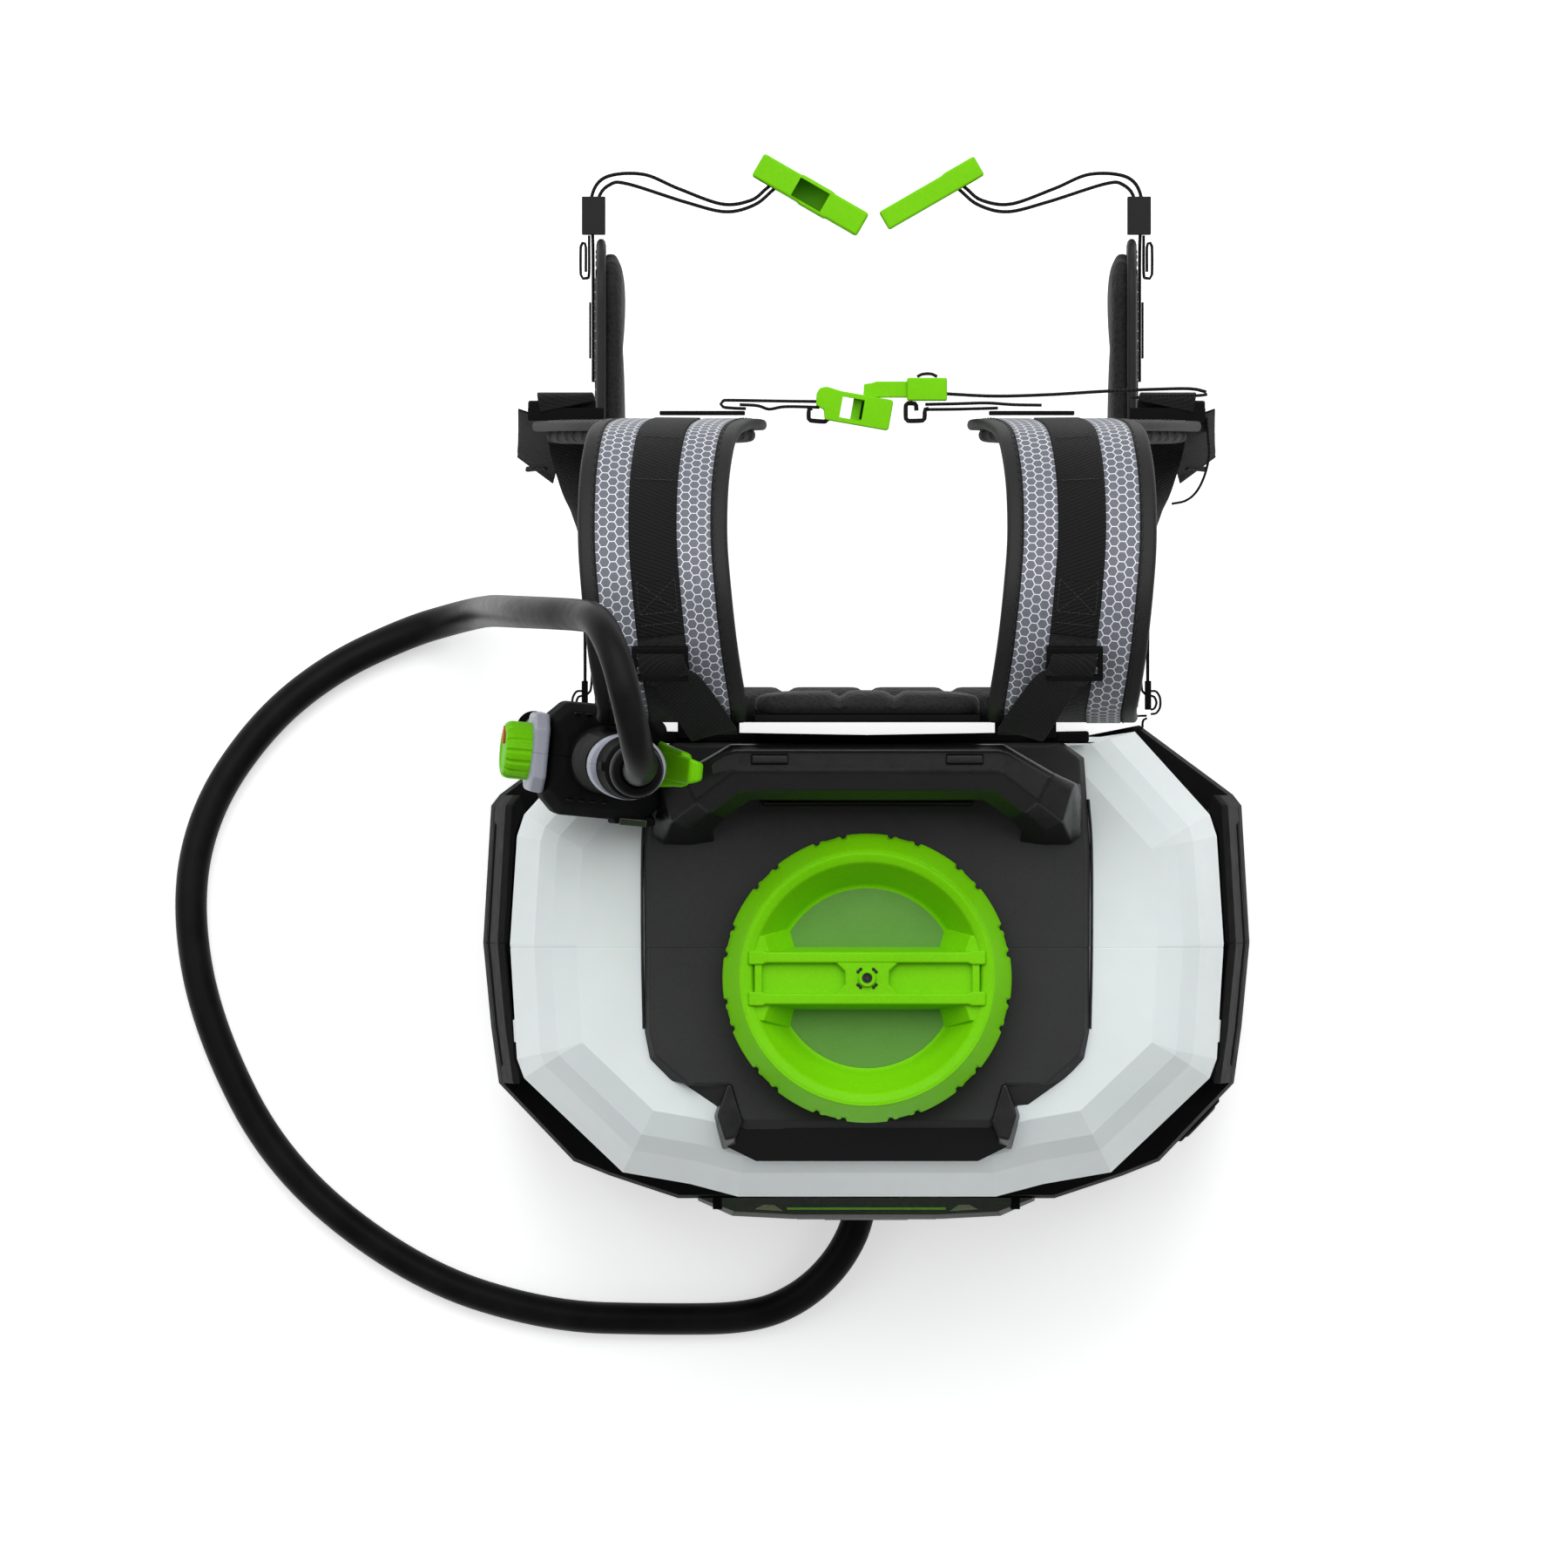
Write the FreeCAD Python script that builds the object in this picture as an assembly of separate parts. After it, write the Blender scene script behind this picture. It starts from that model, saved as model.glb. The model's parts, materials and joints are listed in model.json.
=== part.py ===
"""Battery backpack sprayer: tank on a motor base, padded harness, hose and spray gun.

Millimetres, +Z up. The origin is on the floor under the middle of the base. The wearer's
back is on the +Y side, the battery door is on the -Y side, and the gun hangs on the -X side.
"""
import FreeCAD
import Part
import math
import os

V = FreeCAD.Vector
os.makedirs("parts", exist_ok=True)

# ---- driving dimensions -------------------------------------------------------------------
WALL = 3.0                      # moulded casing wall
GAP = 0.3                       # clearance round moving pieces
WEBBING = 25.4                  # one-inch webbing
WEBBING_THICK = 1.7
BELT_WEBBING = 38.0

# right half of each plan outline, from the battery side round to the harness side
BASE_HALF = [(104.2, -131), (141.6, -118.6), (162.2, -110.4), (203.5, -67.2), (207.8, -36),
             (212.2, 10.6), (207.8, 86.4), (203, 92.6), (151.2, 131), (120, 124.8)]
TANK_HALF = [(71, -128.6), (97, -121.7), (134.4, -115.2), (188.6, -63.4), (192.5, -52.8),
             (196.3, 10.6), (192.5, 69.6), (188.6, 81.6), (147.4, 127.2), (128.2, 124.3)]
DOOR_HALF = [(41.1, -142.6), (74.2, -140.9), (93.5, -132.3), (93.5, -131.3)]
DECK_HALF = [(74, -88), (96, -82), (120, -59), (121, 62), (118, 112), (106, 123)]

SHELL_SEAM_Y = 10.6
BASE_TOP = 150.0
TANK_FLOOR = 142.0
TANK_TOP = 400.0
DECK_TOP = 408.0
PANEL_TOP = 300.0

# filler, all round one vertical axis
FILLER_Y = -8.2
NECK_R = 66.0
NECK_BORE_R = 61.0
NECK_TOP = 428.0
LID_R = 79.4
LID_BOTTOM = 411.0
LID_TOP = 452.0
LID_SHOULDER_R = 70.5
LID_RECESS_R = 62.7
LID_FLOOR_R = 50.1
LID_FLOOR = 430.0
LID_SKIRT_R = 69.0
LID_TEETH = 12
VENT_R = 7.8

# battery door and bay
DOOR_BOTTOM = 46.0
DOOR_TOP = 140.0
DOOR_HINGE_Y = -134.6
DOOR_HINGE_Z = 137.0
DOOR_PIN_R = 1.5
BAY_HALF_X = 72.0
BAY_FRONT_Y = -52.0

# carry handle
HANDLE_TOP = 470.0
HANDLE_DEPTH_Y = (89.0, 120.5)
HANDLE_HALF_X = 88.0

# shoulder straps: outer surface line in Y and Z, with its middle X on the left
STRAP_THICK = 14.0
STRAP_END = 470.0               # top of the anchor bar that the straps are sewn to
STRAP_LINE = [
    # x middle, y, z, width
    (-107.5, 132.6, 470.3, 80.0),
    (-107.0, 132.6, 487.0, 80.0),
    (-107.0, 139.0, 509.0, 80.5),
    (-109.5, 154.0, 523.1, 81.0),
    (-112.5, 175.0, 534.5, 81.5),
    (-115.5, 204.0, 540.0, 82.5),
    (-117.5, 233.0, 534.0, 82.5),
    (-117.0, 262.0, 519.3, 82.5),
    (-114.5, 283.0, 498.5, 82.0),
    (-111.0, 294.0, 474.0, 82.0),
    (-104.0, 298.5, 436.0, 82.0),
    (-96.0, 298.5, 390.0, 82.0),
    (-106.0, 298.5, 340.0, 82.0),
    (-128.0, 298.5, 290.0, 82.0),
    (-146.0, 298.5, 240.0, 80.0),
]

# waist belt
BELT_LOW = 72.0
BELT_HIGH = 186.0
BELT_MIDDLE = 129.0
WING_OUTER_X = 149.5
WING_INNER_X = 134.0
WING_BACK_Y = 137.0
WING_TIP_Y = 400.0

# spray gun: local frame with its origin at the hose end and z along the grip
GUN_ORIGIN = V(-125.3, 105.6, 590.0)
GUN_LEAN = 7.7                  # top of the grip towards +X
GUN_TIP_BACK = 1.9              # top of the grip towards -Y
GUN_YAW = -5.3
KNOB_Z = -155.0
KNOB_R = 15.85
KNOB_X = (-55.4, -38.4)
TRIGGER_PIVOT = (24.0, -148.0)
HEAD_BOTTOM = -183.0
WAND_TOP = V(-172.0, 113.5, 407.0)
WAND_END = V(-184.5, 129.5, 44.0)
NOZZLE_END = V(-185.5, 130.8, 14.0)
WAND_R = 6.0

# hose: each point is a corner of the route, from the gun to the base
HOSE_R = 8.85
HOSE_ROUTE = [
    (-127.1, 106.2, 576.2),
    (-122.3, 104.6, 612.8),
    (-125.5, 117.0, 640.0),
    (-130.5, 141.0, 656.0),
    (-137.5, 169.0, 651.0),
    (-147.0, 188.5, 626.0),
    (-156.0, 190.8, 588.0),
    (-176.0, 192.0, 545.0),
    (-192.0, 192.8, 484.0),
    (-200.0, 193.4, 400.0),
    (-204.5, 193.8, 305.0),
    (-207.0, 194.0, 210.0),
    (-210.0, 194.0, 120.0),
    (-215.0, 193.5, 62.0),
    (-228.0, 190.5, 28.0),
    (-254.0, 183.0, 10.0),
    (-298.0, 162.5, 9.0),
    (-336.0, 131.0, 9.0),
    (-367.5, 84.0, 9.0),
    (-377.7, 30.4, 9.0),
    (-365.8, -36.9, 9.0),
    (-325.9, -115.3, 9.0),
    (-251.0, -173.8, 9.0),
    (-177.0, -197.4, 9.0),
    (-112.0, -199.0, 9.0),
    (-63.8, -198.3, 9.3),
    (-35.3, -186.7, 11.5),
    (-13.5, -164.9, 16.5),
    (-1.7, -137.4, 20.0),
    (-1.7, -110.5, 20.0),
]


# ---- helpers ------------------------------------------------------------------------------
def save(name, shape):
    shape.exportStep("parts/" + name + ".step")


def mirror_x(shape):
    return shape.mirror(V(0, 0, 0), V(1, 0, 0))


def both_sides(shape):
    return Part.makeCompound([shape, mirror_x(shape)])


def full_outline(half):
    """Close a right-half outline with its mirror image."""
    return list(half) + [(-x, y) for x, y in reversed(half)]


def inset(points, distance):
    """Move each edge of a counter-clockwise polygon inwards, keeping its corners sharp."""
    moved = []
    count = len(points)
    for i in range(count):
        ax, ay = points[i - 1]
        bx, by = points[i]
        cx, cy = points[(i + 1) % count]
        ux, uy = unit(bx - ax, by - ay)
        vx, vy = unit(cx - bx, cy - by)
        sine = ux * vy - uy * vx
        cosine = ux * vx + uy * vy
        slip = distance * sine / (1 + cosine)
        moved.append((bx - uy * distance - ux * slip, by + ux * distance - uy * slip))
    return moved


def unit(x, y):
    length = math.hypot(x, y)
    return x / length, y / length


def cut_corners(x0, x1, y0, y1, corner):
    """Rectangle with its corners cut off, counter-clockwise."""
    return [(x0 + corner, y0), (x1 - corner, y0), (x1, y0 + corner), (x1, y1 - corner),
            (x1 - corner, y1), (x0 + corner, y1), (x0, y1 - corner), (x0, y0 + corner)]


def ring_wire(points, z):
    corners = [V(x, y, z) for x, y in points]
    return Part.makePolygon(corners + corners[:1])


def stack(outline, levels):
    """Loft one outline through (height, inset) levels."""
    wires = [ring_wire(inset(outline, step), z) for z, step in levels]
    return Part.makeLoft(wires, True, True)


def prism(points, low, high):
    return Part.Face(ring_wire(points, low)).extrude(V(0, 0, high - low))


def side_prism(points, left, right):
    """Extrude a (y, z) outline along X."""
    corners = [V(left, y, z) for y, z in points]
    return Part.Face(Part.makePolygon(corners + corners[:1])).extrude(V(right - left, 0, 0))


def box(low, high):
    return Part.makeBox(high[0] - low[0], high[1] - low[1], high[2] - low[2], V(*low))


def soft_box(low, high, radius, axis=2):
    """A box whose edges along one axis are rounded."""
    shape = box(low, high)
    edges = [e for e in shape.Edges if abs(abs(e.tangentAt(e.FirstParameter)[axis]) - 1) < 1e-6]
    return shape.makeFillet(radius, edges)


def rod(start, end, radius):
    direction = end.sub(start)
    return Part.makeCylinder(radius, direction.Length, start, direction)


def cone(start, end, radius_start, radius_end):
    direction = end.sub(start)
    return Part.makeCone(radius_start, radius_end, direction.Length, start, direction)


def upright(radius, low, high, x=0.0, y=0.0):
    return Part.makeCylinder(radius, high - low, V(x, y, low))


def washer(outer, inner, low, high, y=0.0):
    return upright(outer, low, high, 0, y).cut(upright(inner, low - 1, high + 1, 0, y))


def ribbon(points, thickness, low, high):
    """Webbing on edge: a plan line given thickness and stood up between two heights."""
    line = Part.BSplineCurve()
    line.interpolate([V(x, y, low) for x, y in points])
    count = 6 * len(points)
    sides = []
    for side in (0.5, -0.5):
        row = []
        for i in range(count + 1):
            t = line.FirstParameter + (line.LastParameter - line.FirstParameter) * i / count
            along = line.tangent(t)[0]
            row.append(line.value(t).add(V(-along.y, along.x, 0).multiply(side * thickness)))
        sides.append(row)
    edge = sides[0] + sides[1][::-1]
    return Part.Face(Part.makePolygon(edge + edge[:1])).extrude(V(0, 0, high - low))


def flat_strip(start, end, across, width, thickness):
    """A straight length of webbing: across is the direction of its width."""
    along = end.sub(start)
    length = along.Length
    along.normalize()
    across = V(*across)
    across = across.sub(V(along).multiply(across.dot(along)))
    across.normalize()
    normal = along.cross(across)
    corner = start.sub(V(across).multiply(width / 2)).sub(V(normal).multiply(thickness / 2))
    side = V(across).multiply(width)
    face = Part.makePolygon([corner, corner.add(side),
                             corner.add(side).add(V(normal).multiply(thickness)),
                             corner.add(V(normal).multiply(thickness)), corner])
    return Part.Face(face).extrude(V(along).multiply(length))


def rounded_path(corners):
    """Straight runs joined by tangent arcs as large as the shorter run allows."""
    edges = []
    radii = []
    last = corners[0]
    for i in range(1, len(corners) - 1):
        back = corners[i - 1].sub(corners[i])
        ahead = corners[i + 1].sub(corners[i])
        reach = 0.45 * min(back.Length, ahead.Length)
        back.normalize()
        ahead.normalize()
        half_turn = (math.pi - back.getAngle(ahead)) / 2
        radius = reach / math.tan(half_turn)
        start = corners[i].add(V(back).multiply(reach))
        end = corners[i].add(V(ahead).multiply(reach))
        inward = back.add(ahead)
        inward.normalize()
        sag = radius / math.cos(half_turn) - radius
        middle = corners[i].add(inward.multiply(sag))
        edges.append(Part.LineSegment(last, start).toShape())
        edges.append(Part.Arc(start, middle, end).toShape())
        radii.append(radius)
        last = end
    edges.append(Part.LineSegment(last, corners[-1]).toShape())
    return Part.Wire(edges), radii


def sweep_circle(path, radius):
    first = path.Edges[0]
    start = first.valueAt(first.FirstParameter)
    direction = first.tangentAt(first.FirstParameter)
    circle = Part.Wire(Part.Circle(start, direction, radius).toShape())
    return path.makePipeShell([circle], True, True)


# ---- base ---------------------------------------------------------------------------------
BASE_OUTLINE = full_outline(BASE_HALF)
TANK_OUTLINE = full_outline(TANK_HALF)
BASE_LEVELS = [(4, 12), (45, 0), (120, 0), (BASE_TOP, 2)]
TANK_LEVELS = [(TANK_FLOOR, 6), (170, 1), (300, 0), (345, 0), (372, 4), (388, 13),
               (397, 24), (TANK_TOP, 28)]
BUTTON_POINT = V(184.0, -87.6, 92.0)
BUTTON_NORMAL = V(0.723, -0.691, 0)
BUTTON_R = 12.0
SCREW_POINTS = [(150, 80), (165, -40), (80, -98), (-150, 80), (-165, -40), (-80, -98)]
HOSE_NOTCH = (24.0, 37.0)


def bottom_cover():
    plate = stack(BASE_OUTLINE, [(0, 16), (4, 12)])
    for x, y in SCREW_POINTS:
        plate = plate.cut(upright(4.2, 0.8, 5, x, y))
        plate = plate.cut(upright(2.2, -1, 5, x, y))
    return plate


def case_screws():
    screws = []
    for x, y in SCREW_POINTS:
        head = upright(4.0, 1.0, 3.5, x, y)
        screws.append(head.fuse(upright(2.0, 3.5, 16, x, y)))
    return Part.makeCompound(screws)


def base_body():
    body = stack(BASE_OUTLINE, BASE_LEVELS)
    inner = [(3, 15), (45, WALL), (120, WALL), (137, 6)]
    body = body.cut(stack(BASE_OUTLINE, inner))
    seat = stack(TANK_OUTLINE, [(141.6, 5.3), (BASE_TOP + 1, 3.6)])
    body = body.cut(seat)
    half_x, top = HOSE_NOTCH
    body = body.cut(box((-half_x, -140, 0), (half_x, -108, top)))
    roof = box((-half_x - WALL, -128, top), (half_x + WALL, -108, top + WALL))
    back = box((-half_x - WALL, -108, 4), (half_x + WALL, -105, top + WALL))
    back = back.cut(rod(V(-1.7, -100, 20), V(-1.7, -112, 20), 7.1))
    cheek = box((half_x, -117, 4), (half_x + WALL, -105, top))
    body = body.fuse([roof, back, cheek, mirror_x(cheek)])
    bay = box((-BAY_HALF_X, -140, DOOR_BOTTOM + 6), (BAY_HALF_X, -120, DOOR_TOP - 10))
    body = body.cut(bay)
    for x, y in SCREW_POINTS:
        post = upright(5.5, 4, 138, x, y)
        body = body.fuse(post.cut(upright(2.05, 3, 17, x, y)))
    hole = rod(BUTTON_POINT.sub(V(BUTTON_NORMAL).multiply(14)),
               BUTTON_POINT.add(V(BUTTON_NORMAL).multiply(14)), BUTTON_R + GAP)
    body = body.cut(hole)
    for side in (1, -1):
        lug = box((80.0, -137.0, DOOR_HINGE_Z - 3.0), (85.0, -128.5, DOOR_HINGE_Z + 2.6))
        lug = lug.cut(rod(V(79, DOOR_HINGE_Y, DOOR_HINGE_Z), V(86, DOOR_HINGE_Y, DOOR_HINGE_Z),
                          DOOR_PIN_R))
        body = body.fuse(lug if side > 0 else mirror_x(lug))
    return body


def base_shells():
    body = base_body()
    front = body.common(box((-300, SHELL_SEAM_Y, -5), (300, 200, 200)))
    rear = body.common(box((-300, -200, -5), (300, SHELL_SEAM_Y, 200)))
    save("base_shell_front", front)
    save("base_shell_rear", rear)


def side_panel():
    """Raised guard that hugs one side of the tank."""
    outer = BASE_HALF[3:8]
    inner = [(188.4, 84), (193.6, 70.6), (197.4, 10.6), (193.6, -53.2), (190, -62)]

    def ring(step, z):
        leaned = [(x - step, y) for x, y in outer]
        return ring_wire(leaned + inner, z)

    return Part.makeLoft([ring(2.2, BASE_TOP + 0.2), ring(5.5, 230), ring(9, PANEL_TOP)], True, True)


def battery_door():
    skin = prism(full_outline(DOOR_HALF), DOOR_BOTTOM, DOOR_TOP)
    # bevels along the lower front edge and both top edges
    front = DOOR_HALF[0][1]
    back = DOOR_HALF[-1][1]
    lower = [(front - 1, DOOR_BOTTOM - 1), (back - 3, DOOR_BOTTOM - 1), (front - 1, DOOR_BOTTOM + 11)]
    upper = [(front - 1, DOOR_TOP - 4), (front + 4, DOOR_TOP + 1), (front - 1, DOOR_TOP + 1)]
    inner = [(back + 1, DOOR_TOP - 2.5), (back + 1, DOOR_TOP + 1), (back - 2.5, DOOR_TOP + 1)]
    for wedge in (lower, upper, inner):
        skin = skin.cut(side_prism(wedge, -100, 100))
    # the cavity behind the skin is open towards the bay
    cavity = [(41.1, -139.6), (72, -138.2), (86, -132.4), (86, -130)]
    skin = skin.cut(prism(full_outline(cavity), DOOR_BOTTOM + 5, DOOR_TOP - 9))
    slot = box((79.7, -144, DOOR_HINGE_Z - 6), (85.3, -130, DOOR_TOP + 1))
    pin_hole = rod(V(-90, DOOR_HINGE_Y, DOOR_HINGE_Z), V(90, DOOR_HINGE_Y, DOOR_HINGE_Z),
                   DOOR_PIN_R + 0.05)
    return skin.cut([slot, mirror_x(slot), pin_hole])


def battery_door_pins():
    pin = rod(V(72.0, DOOR_HINGE_Y, DOOR_HINGE_Z), V(85.0, DOOR_HINGE_Y, DOOR_HINGE_Z), DOOR_PIN_R)
    return both_sides(pin)


def battery_pack():
    pack = soft_box((-66, -126, 56), (66, BAY_FRONT_Y, 126), 8, 1)
    rails = box((-40, -110, 126), (40, BAY_FRONT_Y, 130))
    latch_pocket = box((-14, -130, 108), (14, -112, 122))
    return pack.fuse(rails).cut(latch_pocket)


def battery_latch():
    return soft_box((-13.5, -129.5, 108.5), (13.5, -119.5, 121.5), 3, 1)


def battery_terminals():
    block = box((-42, BAY_FRONT_Y + 0.2, 60), (42, BAY_FRONT_Y + 14, 120))
    for x in (-24, 0, 24):
        block = block.cut(box((x - 2, BAY_FRONT_Y + 6, 66), (x + 2, BAY_FRONT_Y + 20, 114)))
    return block


def pump_motor():
    barrel = rod(V(70, 60, 40), V(-14, 60, 40), 26)
    end_bell = rod(V(78, 60, 40), V(70, 60, 40), 14)
    return barrel.fuse(end_bell)


def pump_head():
    block = soft_box((-62, 32, 12), (-14, 88, 68), 6, 0)
    outlet = rod(V(-38, 32, 26), V(-38, 20, 26), 8)
    inlet = rod(V(-38, 60, 68), V(-38, 60, 80), 8)
    return block.fuse([outlet, inlet]).cut(rod(V(-38, 60, 50), V(-38, 60, 81), 5))


def controller_board():
    board = box((90, -20, 30), (170, 60, 32))
    sink = box((100, -10, 32), (140, 40, 52))
    for i in range(5):
        y = -4 + 9 * i
        sink = sink.cut(box((99, y, 38), (141, y + 4, 53)))
    return board.fuse(sink)


def suction_tube():
    wall = Part.Wire(Part.Circle(V(-38, 60, 80), V(0, 0, 1), 8).toShape())
    outer = Part.Face(wall).extrude(V(0, 0, 56))
    flange = upright(14, 131, 136, -38, 60)
    return outer.fuse(flange).cut(upright(5, 79, 137, -38, 60))


def outlet_tube():
    corners = [V(-38, 19.8, 26), V(-38, -40, 26), V(-1.7, -70, 20), V(-1.7, -99.8, 20)]
    path = rounded_path(corners)[0]
    return sweep_circle(path, 7)


def outlet_fitting():
    """Elbow stub and hex nut that the hose leaves the base through."""
    centre = V(-1.7, -124, 20)
    nut = Part.makePolygon([V(-1.7 + 13.5 * math.cos(math.radians(60 * i)), -124,
                              20 + 13.5 * math.sin(math.radians(60 * i))) for i in range(7)])
    body = Part.Face(nut).extrude(V(0, 15.8, 0))
    body = body.fuse(rod(V(-1.7, -109, 20), V(-1.7, -100, 20), 7.0))
    return body.cut(rod(centre, V(-1.7, -110.5, 20), HOSE_R + 0.2))


def power_button():
    outer = BUTTON_POINT.add(V(BUTTON_NORMAL).multiply(2.5))
    inner = BUTTON_POINT.sub(V(BUTTON_NORMAL).multiply(9))
    cap = rod(inner, outer, BUTTON_R)
    flange = rod(inner, inner.add(V(BUTTON_NORMAL).multiply(2)), BUTTON_R + 2)
    return cap.fuse(flange)


# ---- tank and filler ----------------------------------------------------------------------
def tank_shell():
    shell = stack(TANK_OUTLINE, TANK_LEVELS)
    inner = [(TANK_FLOOR + WALL, 10), (170, 1 + WALL), (300, WALL), (345, WALL), (371, 4 + WALL),
             (387, 16), (394, 26), (TANK_TOP - WALL, 28.5)]
    shell = shell.cut(stack(TANK_OUTLINE, inner))
    neck = washer(NECK_R, NECK_BORE_R, TANK_TOP - WALL, NECK_TOP, FILLER_Y)
    shell = shell.fuse(neck).cut(upright(NECK_BORE_R, TANK_TOP - 8, NECK_TOP + 1, 0, FILLER_Y))
    ledge = washer(NECK_BORE_R, NECK_BORE_R - 2.5, TANK_TOP - WALL, TANK_TOP + 2, FILLER_Y)
    threads = [washer(NECK_R + 1.5, NECK_R - 1, z, z + 3, FILLER_Y) for z in (415, 422)]
    drain = upright(5.2, TANK_FLOOR - 1, TANK_FLOOR + WALL + 1, -38, 60)
    return shell.fuse([ledge] + threads).cut(drain)


def top_deck():
    outline = full_outline(DECK_HALF)
    deck = stack(outline, [(TANK_TOP + 0.2, 0), (DECK_TOP - 3, 0), (DECK_TOP, 3)])
    deck = deck.cut(upright(NECK_R + 4, TANK_TOP - 1, DECK_TOP + 1, 0, FILLER_Y))
    pod_plan = [(78, -82), (94, -76), (96, -66), (88, -60), (74, -62), (72, -76)]
    pod = prism(pod_plan, DECK_TOP, DECK_TOP + 5)
    return deck.fuse([pod, mirror_x(pod)])


def badge_plate():
    """Blank name plate that slopes down at the back of the deck."""
    top = [V(-67, -88.2, 406), V(67, -88.2, 406)]
    low = [V(77, -101, 401.5), V(61, -108.9, 396), V(-61, -108.9, 396), V(-77, -101, 401.5)]
    corners = top + low
    under = [V(p.x * 0.97, p.y, p.z - 5.5) for p in corners]
    faces = [fan(corners), fan(under)]
    count = len(corners)
    for i in range(count):
        j = (i + 1) % count
        faces.append([tri(corners[i], corners[j], under[j]), tri(corners[i], under[j], under[i])])
    shell = Part.makeShell([face for group in faces for face in group])
    solid = Part.Solid(shell)
    if solid.Volume < 0:
        solid.reverse()
    return solid.cut(stack(TANK_OUTLINE, TANK_LEVELS))


def tri(a, b, c):
    return Part.Face(Part.makePolygon([a, b, c, a]))


def fan(points):
    return [tri(points[0], points[i], points[i + 1]) for i in range(1, len(points) - 1)]


def carry_handle():
    back, front = HANDLE_DEPTH_Y[1], HANDLE_DEPTH_Y[0]
    # cross-section of the grip in Y and Z
    section = [(front + 4, HANDLE_TOP - 20), (back - 3, HANDLE_TOP - 20), (back, HANDLE_TOP - 14),
               (back, HANDLE_TOP - 2), (back - 1.5, HANDLE_TOP), (front + 6, HANDLE_TOP),
               (front, HANDLE_TOP - 8), (front, HANDLE_TOP - 16)]
    bar = side_prism(section, -HANDLE_HALF_X, HANDLE_HALF_X)
    groove = box((-HANDLE_HALF_X + 2, 105.5, HANDLE_TOP - 4), (HANDLE_HALF_X - 2, 118.0, HANDLE_TOP + 1))
    bar = bar.cut(groove)
    leg_levels = [
        # height, x low, x high, y low, y high
        (DECK_TOP + 0.1, 82, 118, 62, 112),
        (DECK_TOP + 3, 82, 118, 62, 112),
        (418, 84, 109, 66, 113),
        (450, 78, 102, 80, 119),
        (HANDLE_TOP - 3, 74, 92, 89, 120.5),
        (HANDLE_TOP, 75, 88, 95, 119),
    ]
    wires = [ring_wire(cut_corners(x0, x1, y0, y1, 4), z) for z, x0, x1, y0, y1 in leg_levels]
    leg = Part.makeLoft(wires, True, True)
    return bar.fuse([leg, mirror_x(leg)])


def lid_cap():
    section = [(LID_SKIRT_R, LID_BOTTOM), (LID_R - 1, LID_BOTTOM), (LID_R, LID_BOTTOM + 2),
               (LID_R, LID_TOP - 10), (LID_SHOULDER_R, LID_TOP), (LID_RECESS_R, LID_TOP),
               (LID_FLOOR_R, LID_FLOOR), (0, LID_FLOOR), (0, LID_FLOOR - 4),
               (LID_FLOOR_R + 3.5, LID_FLOOR - 4), (LID_FLOOR_R + 5.5, NECK_TOP + 4),
               (LID_SKIRT_R, NECK_TOP + 4)]
    corners = [V(r, FILLER_Y, z) for r, z in section]
    profile = Part.Face(Part.makePolygon(corners + corners[:1]))
    cap = profile.revolve(V(0, FILLER_Y, 0), V(0, 0, 1), 360)
    grip = []
    for z, half_y, half_x in ((LID_FLOOR - 1, 17.3, 53), (LID_TOP - 1, 14.35, 65.2)):
        grip.append(ring_wire([(-half_x, FILLER_Y - half_y), (half_x, FILLER_Y - half_y),
                               (half_x, FILLER_Y + half_y), (-half_x, FILLER_Y + half_y)], z))
    cap = cap.fuse(Part.makeLoft(grip, True, True))
    for side in (1, -1):
        panel = box((13, FILLER_Y - 8.5, LID_TOP - 3.5), (54, FILLER_Y + 8.5, LID_TOP + 1))
        cap = cap.cut(panel if side > 0 else mirror_x(panel))
    cap = cap.cut(upright(VENT_R + 0.1, LID_TOP - 5, LID_TOP + 1, 0, FILLER_Y))
    notch = box((LID_R - 2.5, FILLER_Y - 9, LID_BOTTOM - 1), (LID_R + 3, FILLER_Y + 9, LID_TOP - 13))
    for i in range(LID_TEETH):
        turned = notch.copy()
        turned.rotate(V(0, FILLER_Y, 0), V(0, 0, 1), 360 / LID_TEETH * i)
        cap = cap.cut(turned)
    return cap


def lid_vent():
    boss = upright(VENT_R, LID_TOP - 5, LID_TOP + 0.8, 0, FILLER_Y)
    return boss.cut(upright(2.7, LID_TOP - 2, LID_TOP + 2, 0, FILLER_Y))


def lid_gasket():
    return washer(NECK_R - 0.5, NECK_BORE_R + 0.5, NECK_TOP + 0.3, NECK_TOP + 4, FILLER_Y)


def strainer_basket():
    outer = Part.makeCone(50, 57, 64, V(0, FILLER_Y, 340))
    inner = Part.makeCone(48.4, 55.4, 63, V(0, FILLER_Y, 341.6))
    basket = outer.cut(inner)
    flange = washer(NECK_BORE_R - 0.4, 55.2, TANK_TOP + 2.1, TANK_TOP + 4, FILLER_Y)
    basket = basket.fuse(flange)
    window = box((40, FILLER_Y - 9, 350), (62, FILLER_Y + 9, 392))
    for i in range(10):
        turned = window.copy()
        turned.rotate(V(0, FILLER_Y, 0), V(0, 0, 1), 36 * i)
        basket = basket.cut(turned)
    return basket


# ---- harness ------------------------------------------------------------------------------
PLATE_Y = (132.6, 136.4)


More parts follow.
